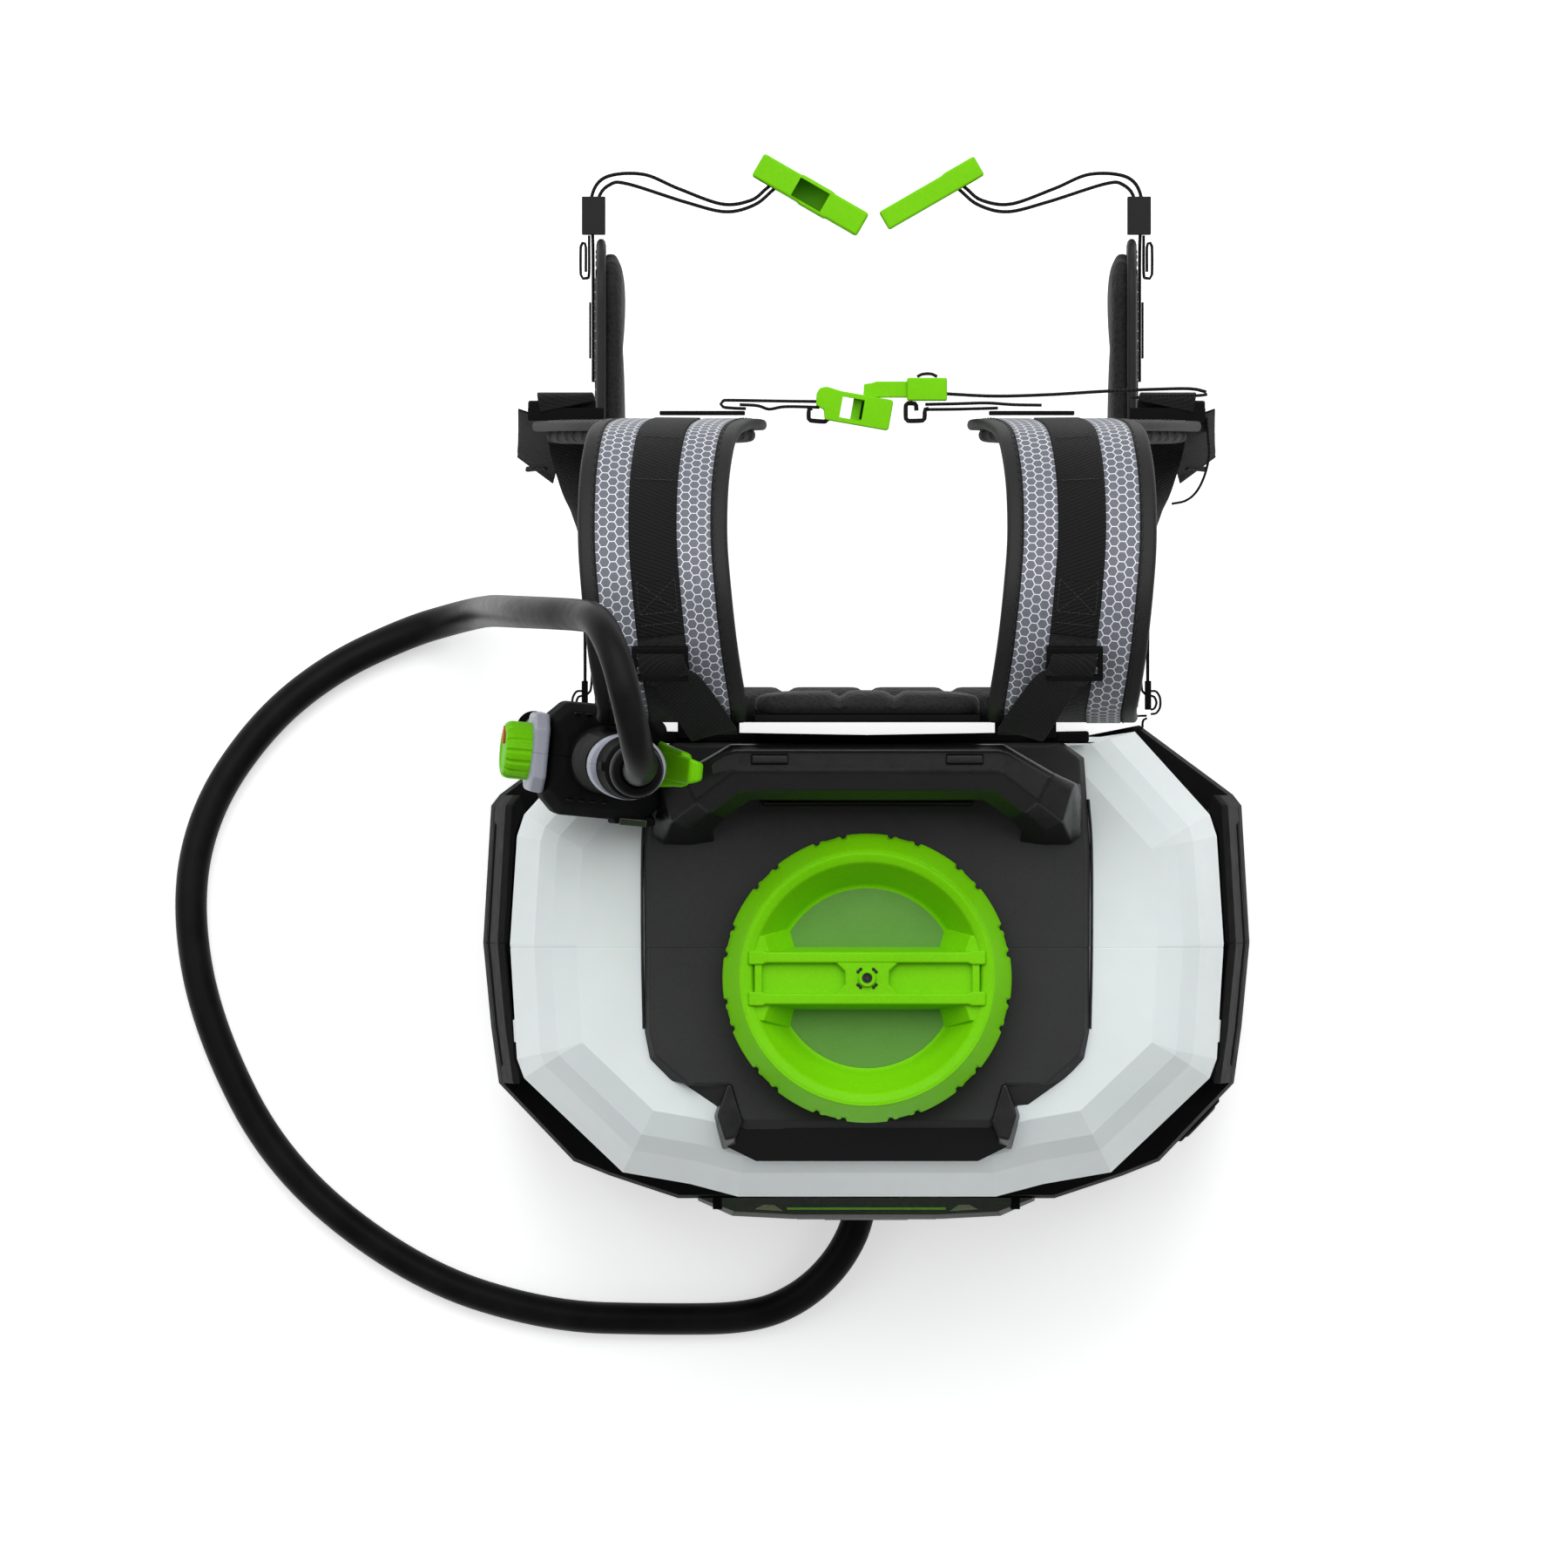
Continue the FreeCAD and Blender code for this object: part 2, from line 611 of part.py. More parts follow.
def back_plate():
    low, high = PLATE_Y
    lumbar = soft_box((-146, low, 64), (146, high, 196), 14, 1)
    spine = box((-62, low, 190), (62, high, 500))
    yoke = box((-146, low, STRAP_END - 7), (146, high, STRAP_END))
    for side in (1, -1):
        anchor = box((66, high, STRAP_END - 5), (146, low + STRAP_THICK, STRAP_END))
        ledge = box((70, 124.6, STRAP_END - 7), (98, low, STRAP_END - 3))
        yoke = yoke.fuse([anchor, ledge] if side > 0 else [mirror_x(anchor), mirror_x(ledge)])
    arms = []
    for arm_low, arm_high, wall_y in ((96, 124, 128.4), (401, 407, 123.1)):
        arm = box((88, wall_y, arm_low), (104, low + 1, arm_high))
        arms += [arm, mirror_x(arm)]
    return lumbar.fuse([spine, yoke] + arms).removeSplitter()


def back_pad():
    back = PLATE_Y[1] + 0.1
    pad = soft_box((-62, back, 206), (62, 151, 499), 5, 2)
    return pad


def lumbar_pad():
    return soft_box((-130, PLATE_Y[1] + 0.1, 66), (130, 151, 198), 6, 2)


def strap_normals():
    """Outward normal of the strap line in the YZ plane at each of its points."""
    normals = []
    count = len(STRAP_LINE)
    for i in range(count):
        before = STRAP_LINE[max(i - 1, 0)]
        after = STRAP_LINE[min(i + 1, count - 1)]
        ty, tz = unit(after[1] - before[1], after[2] - before[2])
        normals.append((-tz, ty))
    normals[0] = (-1.0, 0.0)
    normals[1] = (-0.966, 0.259)
    return normals


def shoulder_pad():
    """Left shoulder strap: rectangular sections along its line."""
    wires = []
    for (x, y, z, width), (ny, nz) in zip(STRAP_LINE, strap_normals()):
        inner_y = y - ny * STRAP_THICK
        inner_z = z - nz * STRAP_THICK
        half = width / 2
        corners = [V(x - half, y, z), V(x + half, y, z), V(x + half, inner_y, inner_z),
                   V(x - half, inner_y, inner_z)]
        wires.append(Part.makePolygon(corners + corners[:1]))
    return Part.makeLoft(wires, True, True)


def strap_webbing():
    """Left lower webbing: lies flat at the strap's end, then turns on edge beside the belt."""
    start = V(-164.3, 297.0, 221)
    turned = V(-155.7, 228, 178)
    end = V(-155.7, 167, 139)
    wires = []
    for centre, angle in ((start, 0), (start.add(turned).multiply(0.5), 45), (turned, 90), (end, 90)):
        along = end.sub(start)
        along.normalize()
        across = FreeCAD.Rotation(along, angle).multVec(V(1, 0, 0))
        normal = along.cross(across)
        side = V(across).multiply(WEBBING / 2)
        depth = V(normal).multiply(WEBBING_THICK / 2)
        corners = [centre.sub(side).sub(depth), centre.add(side).sub(depth),
                   centre.add(side).add(depth), centre.sub(side).add(depth)]
        wires.append(Part.makePolygon(corners + corners[:1]))
    return Part.makeLoft(wires, True, True)


def load_lifter():
    """Left load lifter: from the strap's top down behind it to the anchor bar."""
    top = V(-103.5, 153.8, 532.7)
    bend = V(-84, 126, 502)
    low = V(-84, 126, STRAP_END - 2.7)
    slope = flat_strip(top, bend, (1, 0.4, 0), WEBBING, WEBBING_THICK)
    return slope.fuse(flat_strip(bend.add(V(0, 0, 2)), low, (1, 0, 0), WEBBING, WEBBING_THICK))


def buckle_frame(low, high, bar, axis):
    """A rectangular ladder-lock frame with a middle bar."""
    frame = box(low, high)
    cut_low = list(low)
    cut_high = list(high)
    for i in range(3):
        if i == axis:
            cut_low[i] -= 1
            cut_high[i] += 1
        else:
            cut_low[i] += bar
            cut_high[i] -= bar
    frame = frame.cut(box(cut_low, cut_high))
    middle_low = list(low)
    middle_high = list(high)
    spare = [i for i in (1, 2) if i != axis][0]
    centre = (low[spare] + high[spare]) / 2
    middle_low[spare] = centre - bar / 2
    middle_high[spare] = centre + bar / 2
    return frame.fuse(box(middle_low, middle_high))


def ladder_locks():
    upper = buckle_frame((-129, 155, 531), (-98, 174, 536), 3, 2)
    upper.rotate(V(-113, 164.5, 533), V(1, 0, 0), 16)
    upper.translate(V(0, 0, 6.0))
    lower = buckle_frame((-187, 299, 224), (-145, 306, 246), 4, 1)
    return Part.makeCompound([upper, lower, mirror_x(upper), mirror_x(lower)])


CHEST_Z = 392.0


def chest_sliders():
    slider = buckle_frame((-114, 299.2, CHEST_Z - 17), (-67, 303.4, CHEST_Z + 17), 4, 1)
    return both_sides(slider)


def chest_webbing():
    low, high = CHEST_Z - WEBBING / 2, CHEST_Z + WEBBING / 2
    left = ribbon([(-72, 305.6), (-50, 305.0), (-30, 305.2)], 2 * WEBBING_THICK, low, high)
    right = ribbon([(72, 305.6), (50, 305.0), (24, 304.4)], 2 * WEBBING_THICK, low, high)
    tail = ribbon([(44.6, 312.5), (100, 312.0), (150, 313.5), (187, 316)], WEBBING_THICK, low, high)
    return Part.makeCompound([left, right, tail])


def chest_buckle_socket():
    body = soft_box((-21, -8.5, CHEST_Z - 17), (21, 8.5, CHEST_Z + 17), 4, 1)
    mouth = box((2, -5, CHEST_Z - 13), (22, 5, CHEST_Z + 13))
    body = body.cut(mouth)
    body.rotate(V(0, 0, 0), V(0, 0, 1), -10)
    body.translate(V(-7.5, 304.5, 0))
    return body


def chest_buckle_plug():
    head = box((22, 310.2, CHEST_Z - 17), (44, 322.0, CHEST_Z + 17))
    prongs = [box((-2, 313, z - 3), (22, 318.4, z + 3)) for z in (CHEST_Z - 11, CHEST_Z, CHEST_Z + 11)]
    return head.fuse(prongs)


def belt_wing():
    """Left padded wing: a rounded plate on edge."""
    plate = box((-WING_OUTER_X, WING_BACK_Y, BELT_LOW), (-WING_INNER_X, WING_TIP_Y, BELT_HIGH))
    tips = [e for e in plate.Edges if abs(e.CenterOfMass.y - WING_TIP_Y) < 1e-6
            and abs(e.tangentAt(e.FirstParameter).x) > 0.99]
    return plate.makeFillet(34, tips)


BELT_LINE = [(-154.5, 300), (-154.5, 340), (-154.6, 398), (-153, 421), (-145, 434), (-124, 436),
             (-104, 428), (-80, 419.5), (-64, 421), (-57, 426)]
BELT_LOOP = [(-148.6, 424), (-142, 430.2), (-132, 430.6), (-100, 420.5), (-78, 415.2), (-62, 419.5),
             (-52.5, 427.5)]


def belt_webbing():
    low, high = BELT_MIDDLE - BELT_WEBBING / 2, BELT_MIDDLE + BELT_WEBBING / 2
    outer = ribbon(BELT_LINE, WEBBING_THICK, low, high)
    inner = ribbon(BELT_LOOP, WEBBING_THICK, low, high)
    return Part.makeCompound([outer, inner])


def belt_keepers():
    low, high = BELT_MIDDLE - BELT_WEBBING / 2 - 3, BELT_MIDDLE + BELT_WEBBING / 2 + 3
    sleeve = box((-157.5, 402.5, low), (-144.5, 423.5, high))
    sleeve = sleeve.cut(box((-156.0, 402, low + 2), (-146.5, 424, high - 2)))
    return both_sides(sleeve)


def belt_buckle(length, thick, angle, centre):
    half = BELT_WEBBING / 2 + 5
    body = soft_box((-length / 2, -thick / 2, BELT_MIDDLE - half),
                    (length / 2, thick / 2, BELT_MIDDLE + half), 5, 1)
    slot = box((-length / 2 + 5, -thick / 2 - 1, BELT_MIDDLE - half + 5),
               (-length / 2 + 12, thick / 2 + 1, BELT_MIDDLE + half - 5))
    body = body.cut(slot)
    body.rotate(V(0, 0, 0), V(0, 0, 1), angle)
    body.translate(V(centre[0], centre[1], 0))
    return body


def belt_buckle_socket():
    body = belt_buckle(67, 14.5, -30.0, (-31, 424.5))
    window = box((14, -3.5, BELT_MIDDLE - 17), (34, 3.5, BELT_MIDDLE + 17))
    window.rotate(V(0, 0, 0), V(0, 0, 1), -30)
    window.translate(V(-31, 424.5, 0))
    return body.cut(window)


def belt_buckle_plug():
    return mirror_x(belt_buckle(61, 12.0, -30.0, (-36, 425.5)))


def side_triglides():
    glide = buckle_frame((-157.6, 139.5, BELT_MIDDLE - 21), (-154.2, 155.5, BELT_MIDDLE + 21), 3, 0)
    return both_sides(glide)


# ---- spray gun ----------------------------------------------------------------------------
def gun_placement():
    turn = FreeCAD.Rotation(V(0, 0, 1), GUN_YAW)
    lean = FreeCAD.Rotation(V(0, 1, 0), GUN_LEAN)
    tip = FreeCAD.Rotation(V(1, 0, 0), GUN_TIP_BACK)
    return FreeCAD.Placement(GUN_ORIGIN, turn.multiply(lean).multiply(tip))


def place_gun(shape):
    placed = shape.copy()
    placed.Placement = gun_placement().multiply(placed.Placement)
    return placed


def oval(half_x, half_y, z):
    if half_x >= half_y:
        curve = Part.Ellipse(V(0, 0, z), half_x, half_y)
    else:
        curve = Part.Ellipse(V(0, half_y, z), V(half_x, 0, z), V(0, 0, z))
    return Part.Wire(curve.toShape())


def octagon(left, right, half_y, corner, z):
    return ring_wire([(left, -half_y + corner), (left + corner, -half_y), (right - corner, -half_y),
                      (right, -half_y + corner), (right, half_y - corner), (right - corner, half_y),
                      (left + corner, half_y), (left, half_y - corner)], z)


def gun_body(wall):
    """Grip and head as one closed shape, drawn in by a wall thickness."""
    grip = Part.makeLoft([oval(20.5 - wall, 17.5 - wall, -56.2), oval(19.5 - wall, 17 - wall, -95),
                          oval(21 - wall, 18.5 - wall, -134 - 2 * wall)], True)
    head = Part.makeLoft([octagon(-28 + wall, 28 - wall, 24 - wall, 8, HEAD_BOTTOM + wall),
                          octagon(-32 + wall, 33 - wall, 30 - wall, 9, -172),
                          octagon(-32 + wall, 33 - wall, 30 - wall, 9, -150),
                          octagon(-26 + wall, 23.5 - wall, 21 - wall, 9, -132 - wall)], True, True)
    return grip.fuse(head)


def gun_shells():
    body = gun_body(0).cut(gun_body(2.6))
    body = body.cut(box((16, -14, -158), (40, 14, -126)))
    body = body.cut(rod(V(-20, 0, KNOB_Z), V(-40, 0, KNOB_Z), 9))
    body = body.cut(rod(V(-24, 0, -190), V(-24, 0, -176), 9))
    bosses = []
    for side in (1, -1):
        bosses.append(rod(V(TRIGGER_PIVOT[0], 14.2 * side, TRIGGER_PIVOT[1]),
                          V(TRIGGER_PIVOT[0], 20 * side, TRIGGER_PIVOT[1]), 4))
    body = body.fuse(bosses).cut(rod(V(TRIGGER_PIVOT[0], -21, TRIGGER_PIVOT[1]),
                                     V(TRIGGER_PIVOT[0], 21, TRIGGER_PIVOT[1]), 2.0))
    left = body.common(box((-60, -60, -200), (60, 0, 0)))
    right = body.common(box((-60, 0, -200), (60, 60, 0)))
    save("gun_shell_left", place_gun(left))
    save("gun_shell_right", place_gun(right))


def grip_ring():
    return place_gun(Part.Face(oval(21.35, 18, -56)).extrude(V(0, 0, 12)))


def gun_end_cap():
    cap = upright(16.5, -43.9, -16)
    socket = upright(13, -16, 0).cut(upright(HOSE_R + 0.2, -14, 1))
    return place_gun(cap.fuse(socket))


def knob_collar():
    plate = octagon_plate(-41, -32.2, 22, 20)
    plate = plate.cut(rod(V(-42, 0, KNOB_Z), V(-38.2, 0, KNOB_Z), KNOB_R + 0.5))
    return place_gun(plate.cut(rod(V(-45, 0, KNOB_Z), V(-30, 0, KNOB_Z), 4.08)))


def octagon_plate(left, right, half_y, half_z):
    corner = 8
    points = [(-half_y, -half_z + corner), (-half_y + corner, -half_z), (half_y - corner, -half_z),
              (half_y, -half_z + corner), (half_y, half_z - corner), (half_y - corner, half_z),
              (-half_y + corner, half_z), (-half_y, half_z - corner)]
    return side_prism([(y, z + KNOB_Z) for y, z in points], left, right)


def pressure_knob():
    knob = rod(V(KNOB_X[0], 0, KNOB_Z), V(KNOB_X[1], 0, KNOB_Z), KNOB_R)
    for i in range(16):
        angle = math.radians(22.5 * i)
        y = (KNOB_R + 0.6) * math.cos(angle)
        z = KNOB_Z + (KNOB_R + 0.6) * math.sin(angle)
        knob = knob.cut(rod(V(KNOB_X[0] + 3, y, z), V(KNOB_X[1] - 2, y, z), 1.8))
    return place_gun(knob.fuse(rod(V(KNOB_X[1], 0, KNOB_Z), V(-27, 0, KNOB_Z), 4.0)))


def trigger():
    outline = [(19, -152), (28, -155), (36, -144), (39.5, -120), (44, -84), (45.5, -74), (43, -70),
               (37, -70), (35.5, -80), (32, -112), (27.5, -138), (19, -143)]
    corners = [V(x, -8, z) for x, z in outline]
    lever = Part.Face(Part.makePolygon(corners + corners[:1])).extrude(V(0, 16, 0))
    wide = [(25, -140), (36.5, -140), (40.5, -108), (33, -108)]
    corners = [V(x, -13.2, z) for x, z in wide]
    wings = Part.Face(Part.makePolygon(corners + corners[:1])).extrude(V(0, 26.4, 0))
    lever = lever.fuse(wings)
    hub = rod(V(TRIGGER_PIVOT[0], -13.5, TRIGGER_PIVOT[1]), V(TRIGGER_PIVOT[0], 13.5, TRIGGER_PIVOT[1]), 4.5)
    hole = rod(V(TRIGGER_PIVOT[0], -15, TRIGGER_PIVOT[1]), V(TRIGGER_PIVOT[0], 15, TRIGGER_PIVOT[1]), 2.05)
    return place_gun(lever.fuse(hub).cut(hole))


def trigger_pin():
    x, z = TRIGGER_PIVOT
    return place_gun(rod(V(x, -20, z), V(x, 20, z), 2.0))


def valve_body():
    block = box((-22, -10, -172), (12, 10, -140))
    return place_gun(block.fuse(upright(7, -140, -60)))


def wand_tube():
    tube = rod(WAND_TOP, WAND_END, WAND_R)
    along = WAND_END.sub(WAND_TOP)
    along.normalize()
    nut_end = WAND_TOP.add(V(along).multiply(24))
    nut = rod(WAND_TOP, nut_end, 10.5)
    return tube.fuse(nut)


def wand_nozzle():
    along = NOZZLE_END.sub(WAND_END)
    along.normalize()
    body = cone(WAND_END.add(V(along).multiply(GAP)), NOZZLE_END, 9.5, 6.5)
    return body.cut(rod(NOZZLE_END.add(WAND_END.sub(NOZZLE_END).multiply(0.25)), NOZZLE_END, 1.5))


def wand_point(z):
    share = (WAND_TOP.z - z) / (WAND_TOP.z - WAND_END.z)
    return WAND_TOP.add(WAND_END.sub(WAND_TOP).multiply(share))


def wand_clips():
    """Two C clips: one on the tank's corner and one on the base's corner."""
    clips = []
    for z, inward, reach in ((330, V(0.742, -0.670, 0), 13.2), (100, V(0.595, -0.803, 0), 14.6)):
        low, high = wand_point(z - 11), wand_point(z + 11)
        ring = rod(low, high, 9.2)
        arm = flat_strip(wand_point(z), wand_point(z).add(V(inward).multiply(reach)), (0, 0, 1), 18, 12)
        clip = ring.fuse(arm).cut(rod(wand_point(z - 20), wand_point(z + 20), WAND_R + 0.02))
        outward = V(inward).multiply(-12)
        slot = flat_strip(wand_point(z), wand_point(z).add(outward), (0, 0, 1), 40, 8)
        clips.append(clip.cut(slot))
    return Part.makeCompound(clips)


def spray_hose():
    path, radii = rounded_path([V(*p) for p in HOSE_ROUTE])
    tube = sweep_circle(path, HOSE_R)
    expected = math.pi * HOSE_R ** 2 * path.Length
    print("hose length %.0f mm, volume %.4f of section x length" % (path.Length, tube.Volume / expected))
    print("hose arc radii, mm:", [round(r) for r in radii])
    runs = [round(V(*a).distanceToPoint(V(*b))) for a, b in zip(HOSE_ROUTE, HOSE_ROUTE[1:])]
    print("hose runs, mm:", runs)
    return tube


NODES = {
    "bottom_cover": bottom_cover, "case_screws": case_screws, "battery_door": battery_door,
    "battery_door_pins": battery_door_pins, "battery_pack": battery_pack,
    "battery_latch": battery_latch, "battery_terminals": battery_terminals,
    "pump_motor": pump_motor, "pump_head": pump_head, "controller_board": controller_board,
    "suction_tube": suction_tube, "outlet_tube": outlet_tube, "outlet_fitting": outlet_fitting,
    "power_button": power_button, "tank_shell": tank_shell, "top_deck": top_deck,
    "badge_plate": badge_plate, "carry_handle": carry_handle, "lid_cap": lid_cap,
    "lid_vent": lid_vent, "lid_gasket": lid_gasket, "strainer_basket": strainer_basket,
    "back_plate": back_plate, "back_pad": back_pad, "lumbar_pad": lumbar_pad,
    "load_lifters": lambda: both_sides(load_lifter()),
    "ladder_locks": ladder_locks, "chest_sliders": chest_sliders, "chest_webbing": chest_webbing,
    "chest_buckle_socket": chest_buckle_socket, "chest_buckle_plug": chest_buckle_plug,
    "belt_keepers": belt_keepers, "belt_buckle_socket": belt_buckle_socket,
    "belt_buckle_plug": belt_buckle_plug, "side_triglides": side_triglides,
    "grip_ring": grip_ring, "gun_end_cap": gun_end_cap, "knob_collar": knob_collar,
    "pressure_knob": pressure_knob, "trigger": trigger, "trigger_pin": trigger_pin,
    "valve_body": valve_body, "wand_tube": wand_tube, "wand_nozzle": wand_nozzle,
    "wand_clips": wand_clips, "spray_hose": spray_hose,
}
MIRRORED = {
    "side_panel": side_panel, "shoulder_pad": shoulder_pad, "strap_webbing": strap_webbing,
    "belt_wing": belt_wing, "belt_webbing": belt_webbing,
}

for node, make in NODES.items():
    save(node, make())
for node, make in MIRRORED.items():
    piece = make()
    on_left = piece.BoundBox.Center.x < 0
    save(node + "_left", piece if on_left else mirror_x(piece))
    save(node + "_right", mirror_x(piece) if on_left else piece)
base_shells()
gun_shells()
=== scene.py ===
"""Looks of the battery backpack sprayer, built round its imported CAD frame.

Blender units are metres. Outlines and sections here are written in millimetres, as the CAD
is, and MM turns them into metres.
"""
import bisect
import json
import math

import bmesh
import bpy
from mathutils import Matrix, Vector
from mathutils.kdtree import KDTree

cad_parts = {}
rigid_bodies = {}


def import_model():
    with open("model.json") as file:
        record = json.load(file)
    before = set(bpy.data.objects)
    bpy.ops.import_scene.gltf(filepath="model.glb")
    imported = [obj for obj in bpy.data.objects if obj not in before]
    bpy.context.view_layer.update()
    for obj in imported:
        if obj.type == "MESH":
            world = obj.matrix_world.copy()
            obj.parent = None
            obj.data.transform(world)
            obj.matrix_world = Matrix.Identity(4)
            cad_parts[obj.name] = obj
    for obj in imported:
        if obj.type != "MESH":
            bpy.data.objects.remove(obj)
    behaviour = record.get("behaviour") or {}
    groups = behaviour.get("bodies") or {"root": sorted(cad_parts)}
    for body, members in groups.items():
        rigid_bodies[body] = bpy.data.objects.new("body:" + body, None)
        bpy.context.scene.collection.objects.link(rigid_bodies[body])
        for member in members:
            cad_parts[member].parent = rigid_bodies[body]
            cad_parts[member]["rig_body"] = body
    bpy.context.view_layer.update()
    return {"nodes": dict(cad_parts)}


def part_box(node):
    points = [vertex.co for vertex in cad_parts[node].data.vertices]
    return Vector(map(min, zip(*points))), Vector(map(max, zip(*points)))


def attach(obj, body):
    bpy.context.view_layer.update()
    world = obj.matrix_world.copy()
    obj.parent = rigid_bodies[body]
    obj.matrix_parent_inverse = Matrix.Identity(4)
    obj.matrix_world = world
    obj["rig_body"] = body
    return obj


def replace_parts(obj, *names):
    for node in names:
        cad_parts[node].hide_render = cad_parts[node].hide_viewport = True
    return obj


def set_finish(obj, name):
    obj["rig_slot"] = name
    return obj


MM = 0.001
ROOT = "root"
WEBBING = 25.4
WEBBING_THICK = 1.7

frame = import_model()
scene = bpy.context.scene


# ---- camera -------------------------------------------------------------------------------
LENS = 1500.0                   # a long lens: the view is nearly parallel
SENSOR = 36.0
VIEW_WIDTH = 0.864
VIEW_CENTRE = (-0.0456, 0.0984)
VIEW_HEIGHT = 0.3               # the height at which the view is VIEW_WIDTH wide


def make_camera():
    data = bpy.data.cameras.new("camera")
    data.lens = LENS
    data.sensor_width = SENSOR
    distance = VIEW_WIDTH * LENS / SENSOR
    data.clip_start = 0.5 * distance
    data.clip_end = 2 * distance
    camera = bpy.data.objects.new("camera", data)
    camera.location = (*VIEW_CENTRE, VIEW_HEIGHT + distance)
    scene.collection.objects.link(camera)
    scene.camera = camera


# ---- node helpers -------------------------------------------------------------------------
def srgb(code):
    """A hex colour as linear red, green, blue and alpha."""
    channels = [int(code[i:i + 2], 16) / 255 for i in (0, 2, 4)]
    linear = [c / 12.92 if c <= 0.04045 else ((c + 0.055) / 1.055) ** 2.4 for c in channels]
    return (*linear, 1.0)


class Shader:
    """One material and short ways to add nodes to it."""

    def __init__(self, name):
        self.material = bpy.data.materials.new(name)
        self.material.use_nodes = True
        self.tree = self.material.node_tree
        self.bsdf = self.tree.nodes["Principled BSDF"]

    def node(self, kind, settings=(), **inputs):
        made = self.tree.nodes.new("ShaderNode" + kind)
        for key, value in dict(settings).items():
            setattr(made, key, value)
        for key, value in inputs.items():
            self.plug(made.inputs[key.replace("_", " ")], value)
        return made

    def plug(self, socket, value):
        if isinstance(value, bpy.types.NodeSocket):
            self.tree.links.new(value, socket)
        else:
            socket.default_value = value

    def math(self, operation, a, b=0.0, c=0.0):
        made = self.tree.nodes.new("ShaderNodeMath")
        made.operation = operation
        for socket, value in zip(made.inputs, (a, b, c)):
            self.plug(socket, value)
        return made.outputs[0]

    def place(self):
        return self.node("TexCoord").outputs["Object"]

    def lay(self):
        """Across, along and depth in a strip, in metres, as three sockets."""
        attribute = self.node("Attribute", {"attribute_name": "lay"})
        parts = self.node("SeparateXYZ", Vector=attribute.outputs["Vector"])
        return parts.outputs

    def noise(self, scale, detail=3.0, vector=None):
        where = vector or self.place()
        return self.node("TexNoise", Vector=where, Scale=scale, Detail=detail).outputs["Fac"]

    def spread(self, value, low, high, from_low=0.3, from_high=0.7):
        made = self.node("MapRange", Value=value, From_Min=from_low, From_Max=from_high,
                         To_Min=low, To_Max=high)
        return made.outputs["Result"]

    def mix(self, share, first, second):
        made = self.tree.nodes.new("ShaderNodeMix")
        made.data_type = "RGBA"
        self.plug(made.inputs[0], share)
        self.plug(made.inputs[6], first)
        self.plug(made.inputs[7], second)
        return made.outputs[2]

    def bump(self, height, distance, strength=1.0, under=None):
        made = self.node("Bump", Height=height, Distance=distance, Strength=strength)
        if under is not None:
            self.tree.links.new(under, made.inputs["Normal"])
        return made.outputs["Normal"]

    def set(self, **inputs):
        for key, value in inputs.items():
            self.plug(self.bsdf.inputs[key.replace("_", " ")], value)
        return self


# ---- materials ----------------------------------------------------------------------------
GRAIN_SCALE = 1400.0            # moulded grain about 0.7 mm across
STAIN_SCALE = 14.0


def moulded(name, dark, light, rough, grain=0.00003, **more):
    """Moulded plastic: slow colour drift, fine spark-eroded grain, handling marks in the gloss."""
    s = Shader(name)
    drift = s.noise(STAIN_SCALE, 4.0)
    speck = s.noise(GRAIN_SCALE * 0.4, 2.0)
    share = s.spread(s.math("MULTIPLY_ADD", speck, 0.35, s.math("MULTIPLY", drift, 0.65)), 0, 1)
    marks = s.noise(120.0, 5.0)
    s.set(Base_Color=s.mix(share, srgb(dark), srgb(light)),
          Roughness=s.spread(marks, rough - 0.06, rough + 0.06),
          Normal=s.bump(s.noise(GRAIN_SCALE, 2.0), grain), **more)
    return s.material


def tank_plastic():
    """Blow-moulded polyethylene: waxy, slightly cloudy, with flow ripples."""
    s = Shader("tank_polyethylene")
    cloud = s.spread(s.noise(9.0, 4.0), 0, 1)
    ripple = s.bump(s.noise(60.0, 3.0), 0.0002, 0.6)
    s.set(Base_Color=s.mix(cloud, srgb("D4DBDB"), srgb("E0E7E7")),
          Roughness=s.spread(s.noise(200.0), 0.36, 0.5),
          Normal=s.bump(s.noise(GRAIN_SCALE), 0.00002, 1.0, ripple),
          Subsurface_Weight=0.12, Subsurface_Scale=0.004)
    return s.material


def smoked_plastic():
    s = Shader("smoked_plastic")
    haze = s.spread(s.noise(20.0), 0, 1)
    s.set(Base_Color=s.mix(haze, srgb("1E2A14"), srgb("2B3D1C")),
          Roughness=s.spread(s.noise(300.0), 0.1, 0.2),
          Transmission_Weight=0.35, Coat_Weight=0.5, Coat_Roughness=0.05)
    return s.material


def webbing(name, dark, light, pitch=0.0016):
    """Flat-woven strap: a twill of warp and weft."""
    s = Shader(name)
    across, along = s.lay()[:2]
    turn = 2 * math.pi / pitch
    warp = s.math("SINE", s.math("MULTIPLY", across, turn))
    weft = s.math("SINE", s.math("MULTIPLY", s.math("ADD", along, across), turn * 0.7))
    cloth = s.math("MULTIPLY", warp, weft)
    fuzz = s.noise(2600.0, 2.0)
    mixed = s.math("MULTIPLY_ADD", fuzz, 0.5, s.math("MULTIPLY", cloth, 0.5))
    share = s.spread(mixed, 0, 1, -0.3, 0.8)
    s.set(Base_Color=s.mix(share, srgb(dark), srgb(light)),
          Roughness=s.spread(fuzz, 0.62, 0.85),
          Normal=s.bump(s.math("MULTIPLY_ADD", fuzz, 0.4, cloth), 0.00025, 0.9),
          Specular_IOR_Level=0.12, Sheen_Weight=0.05, Sheen_Roughness=0.4)
    return s.material


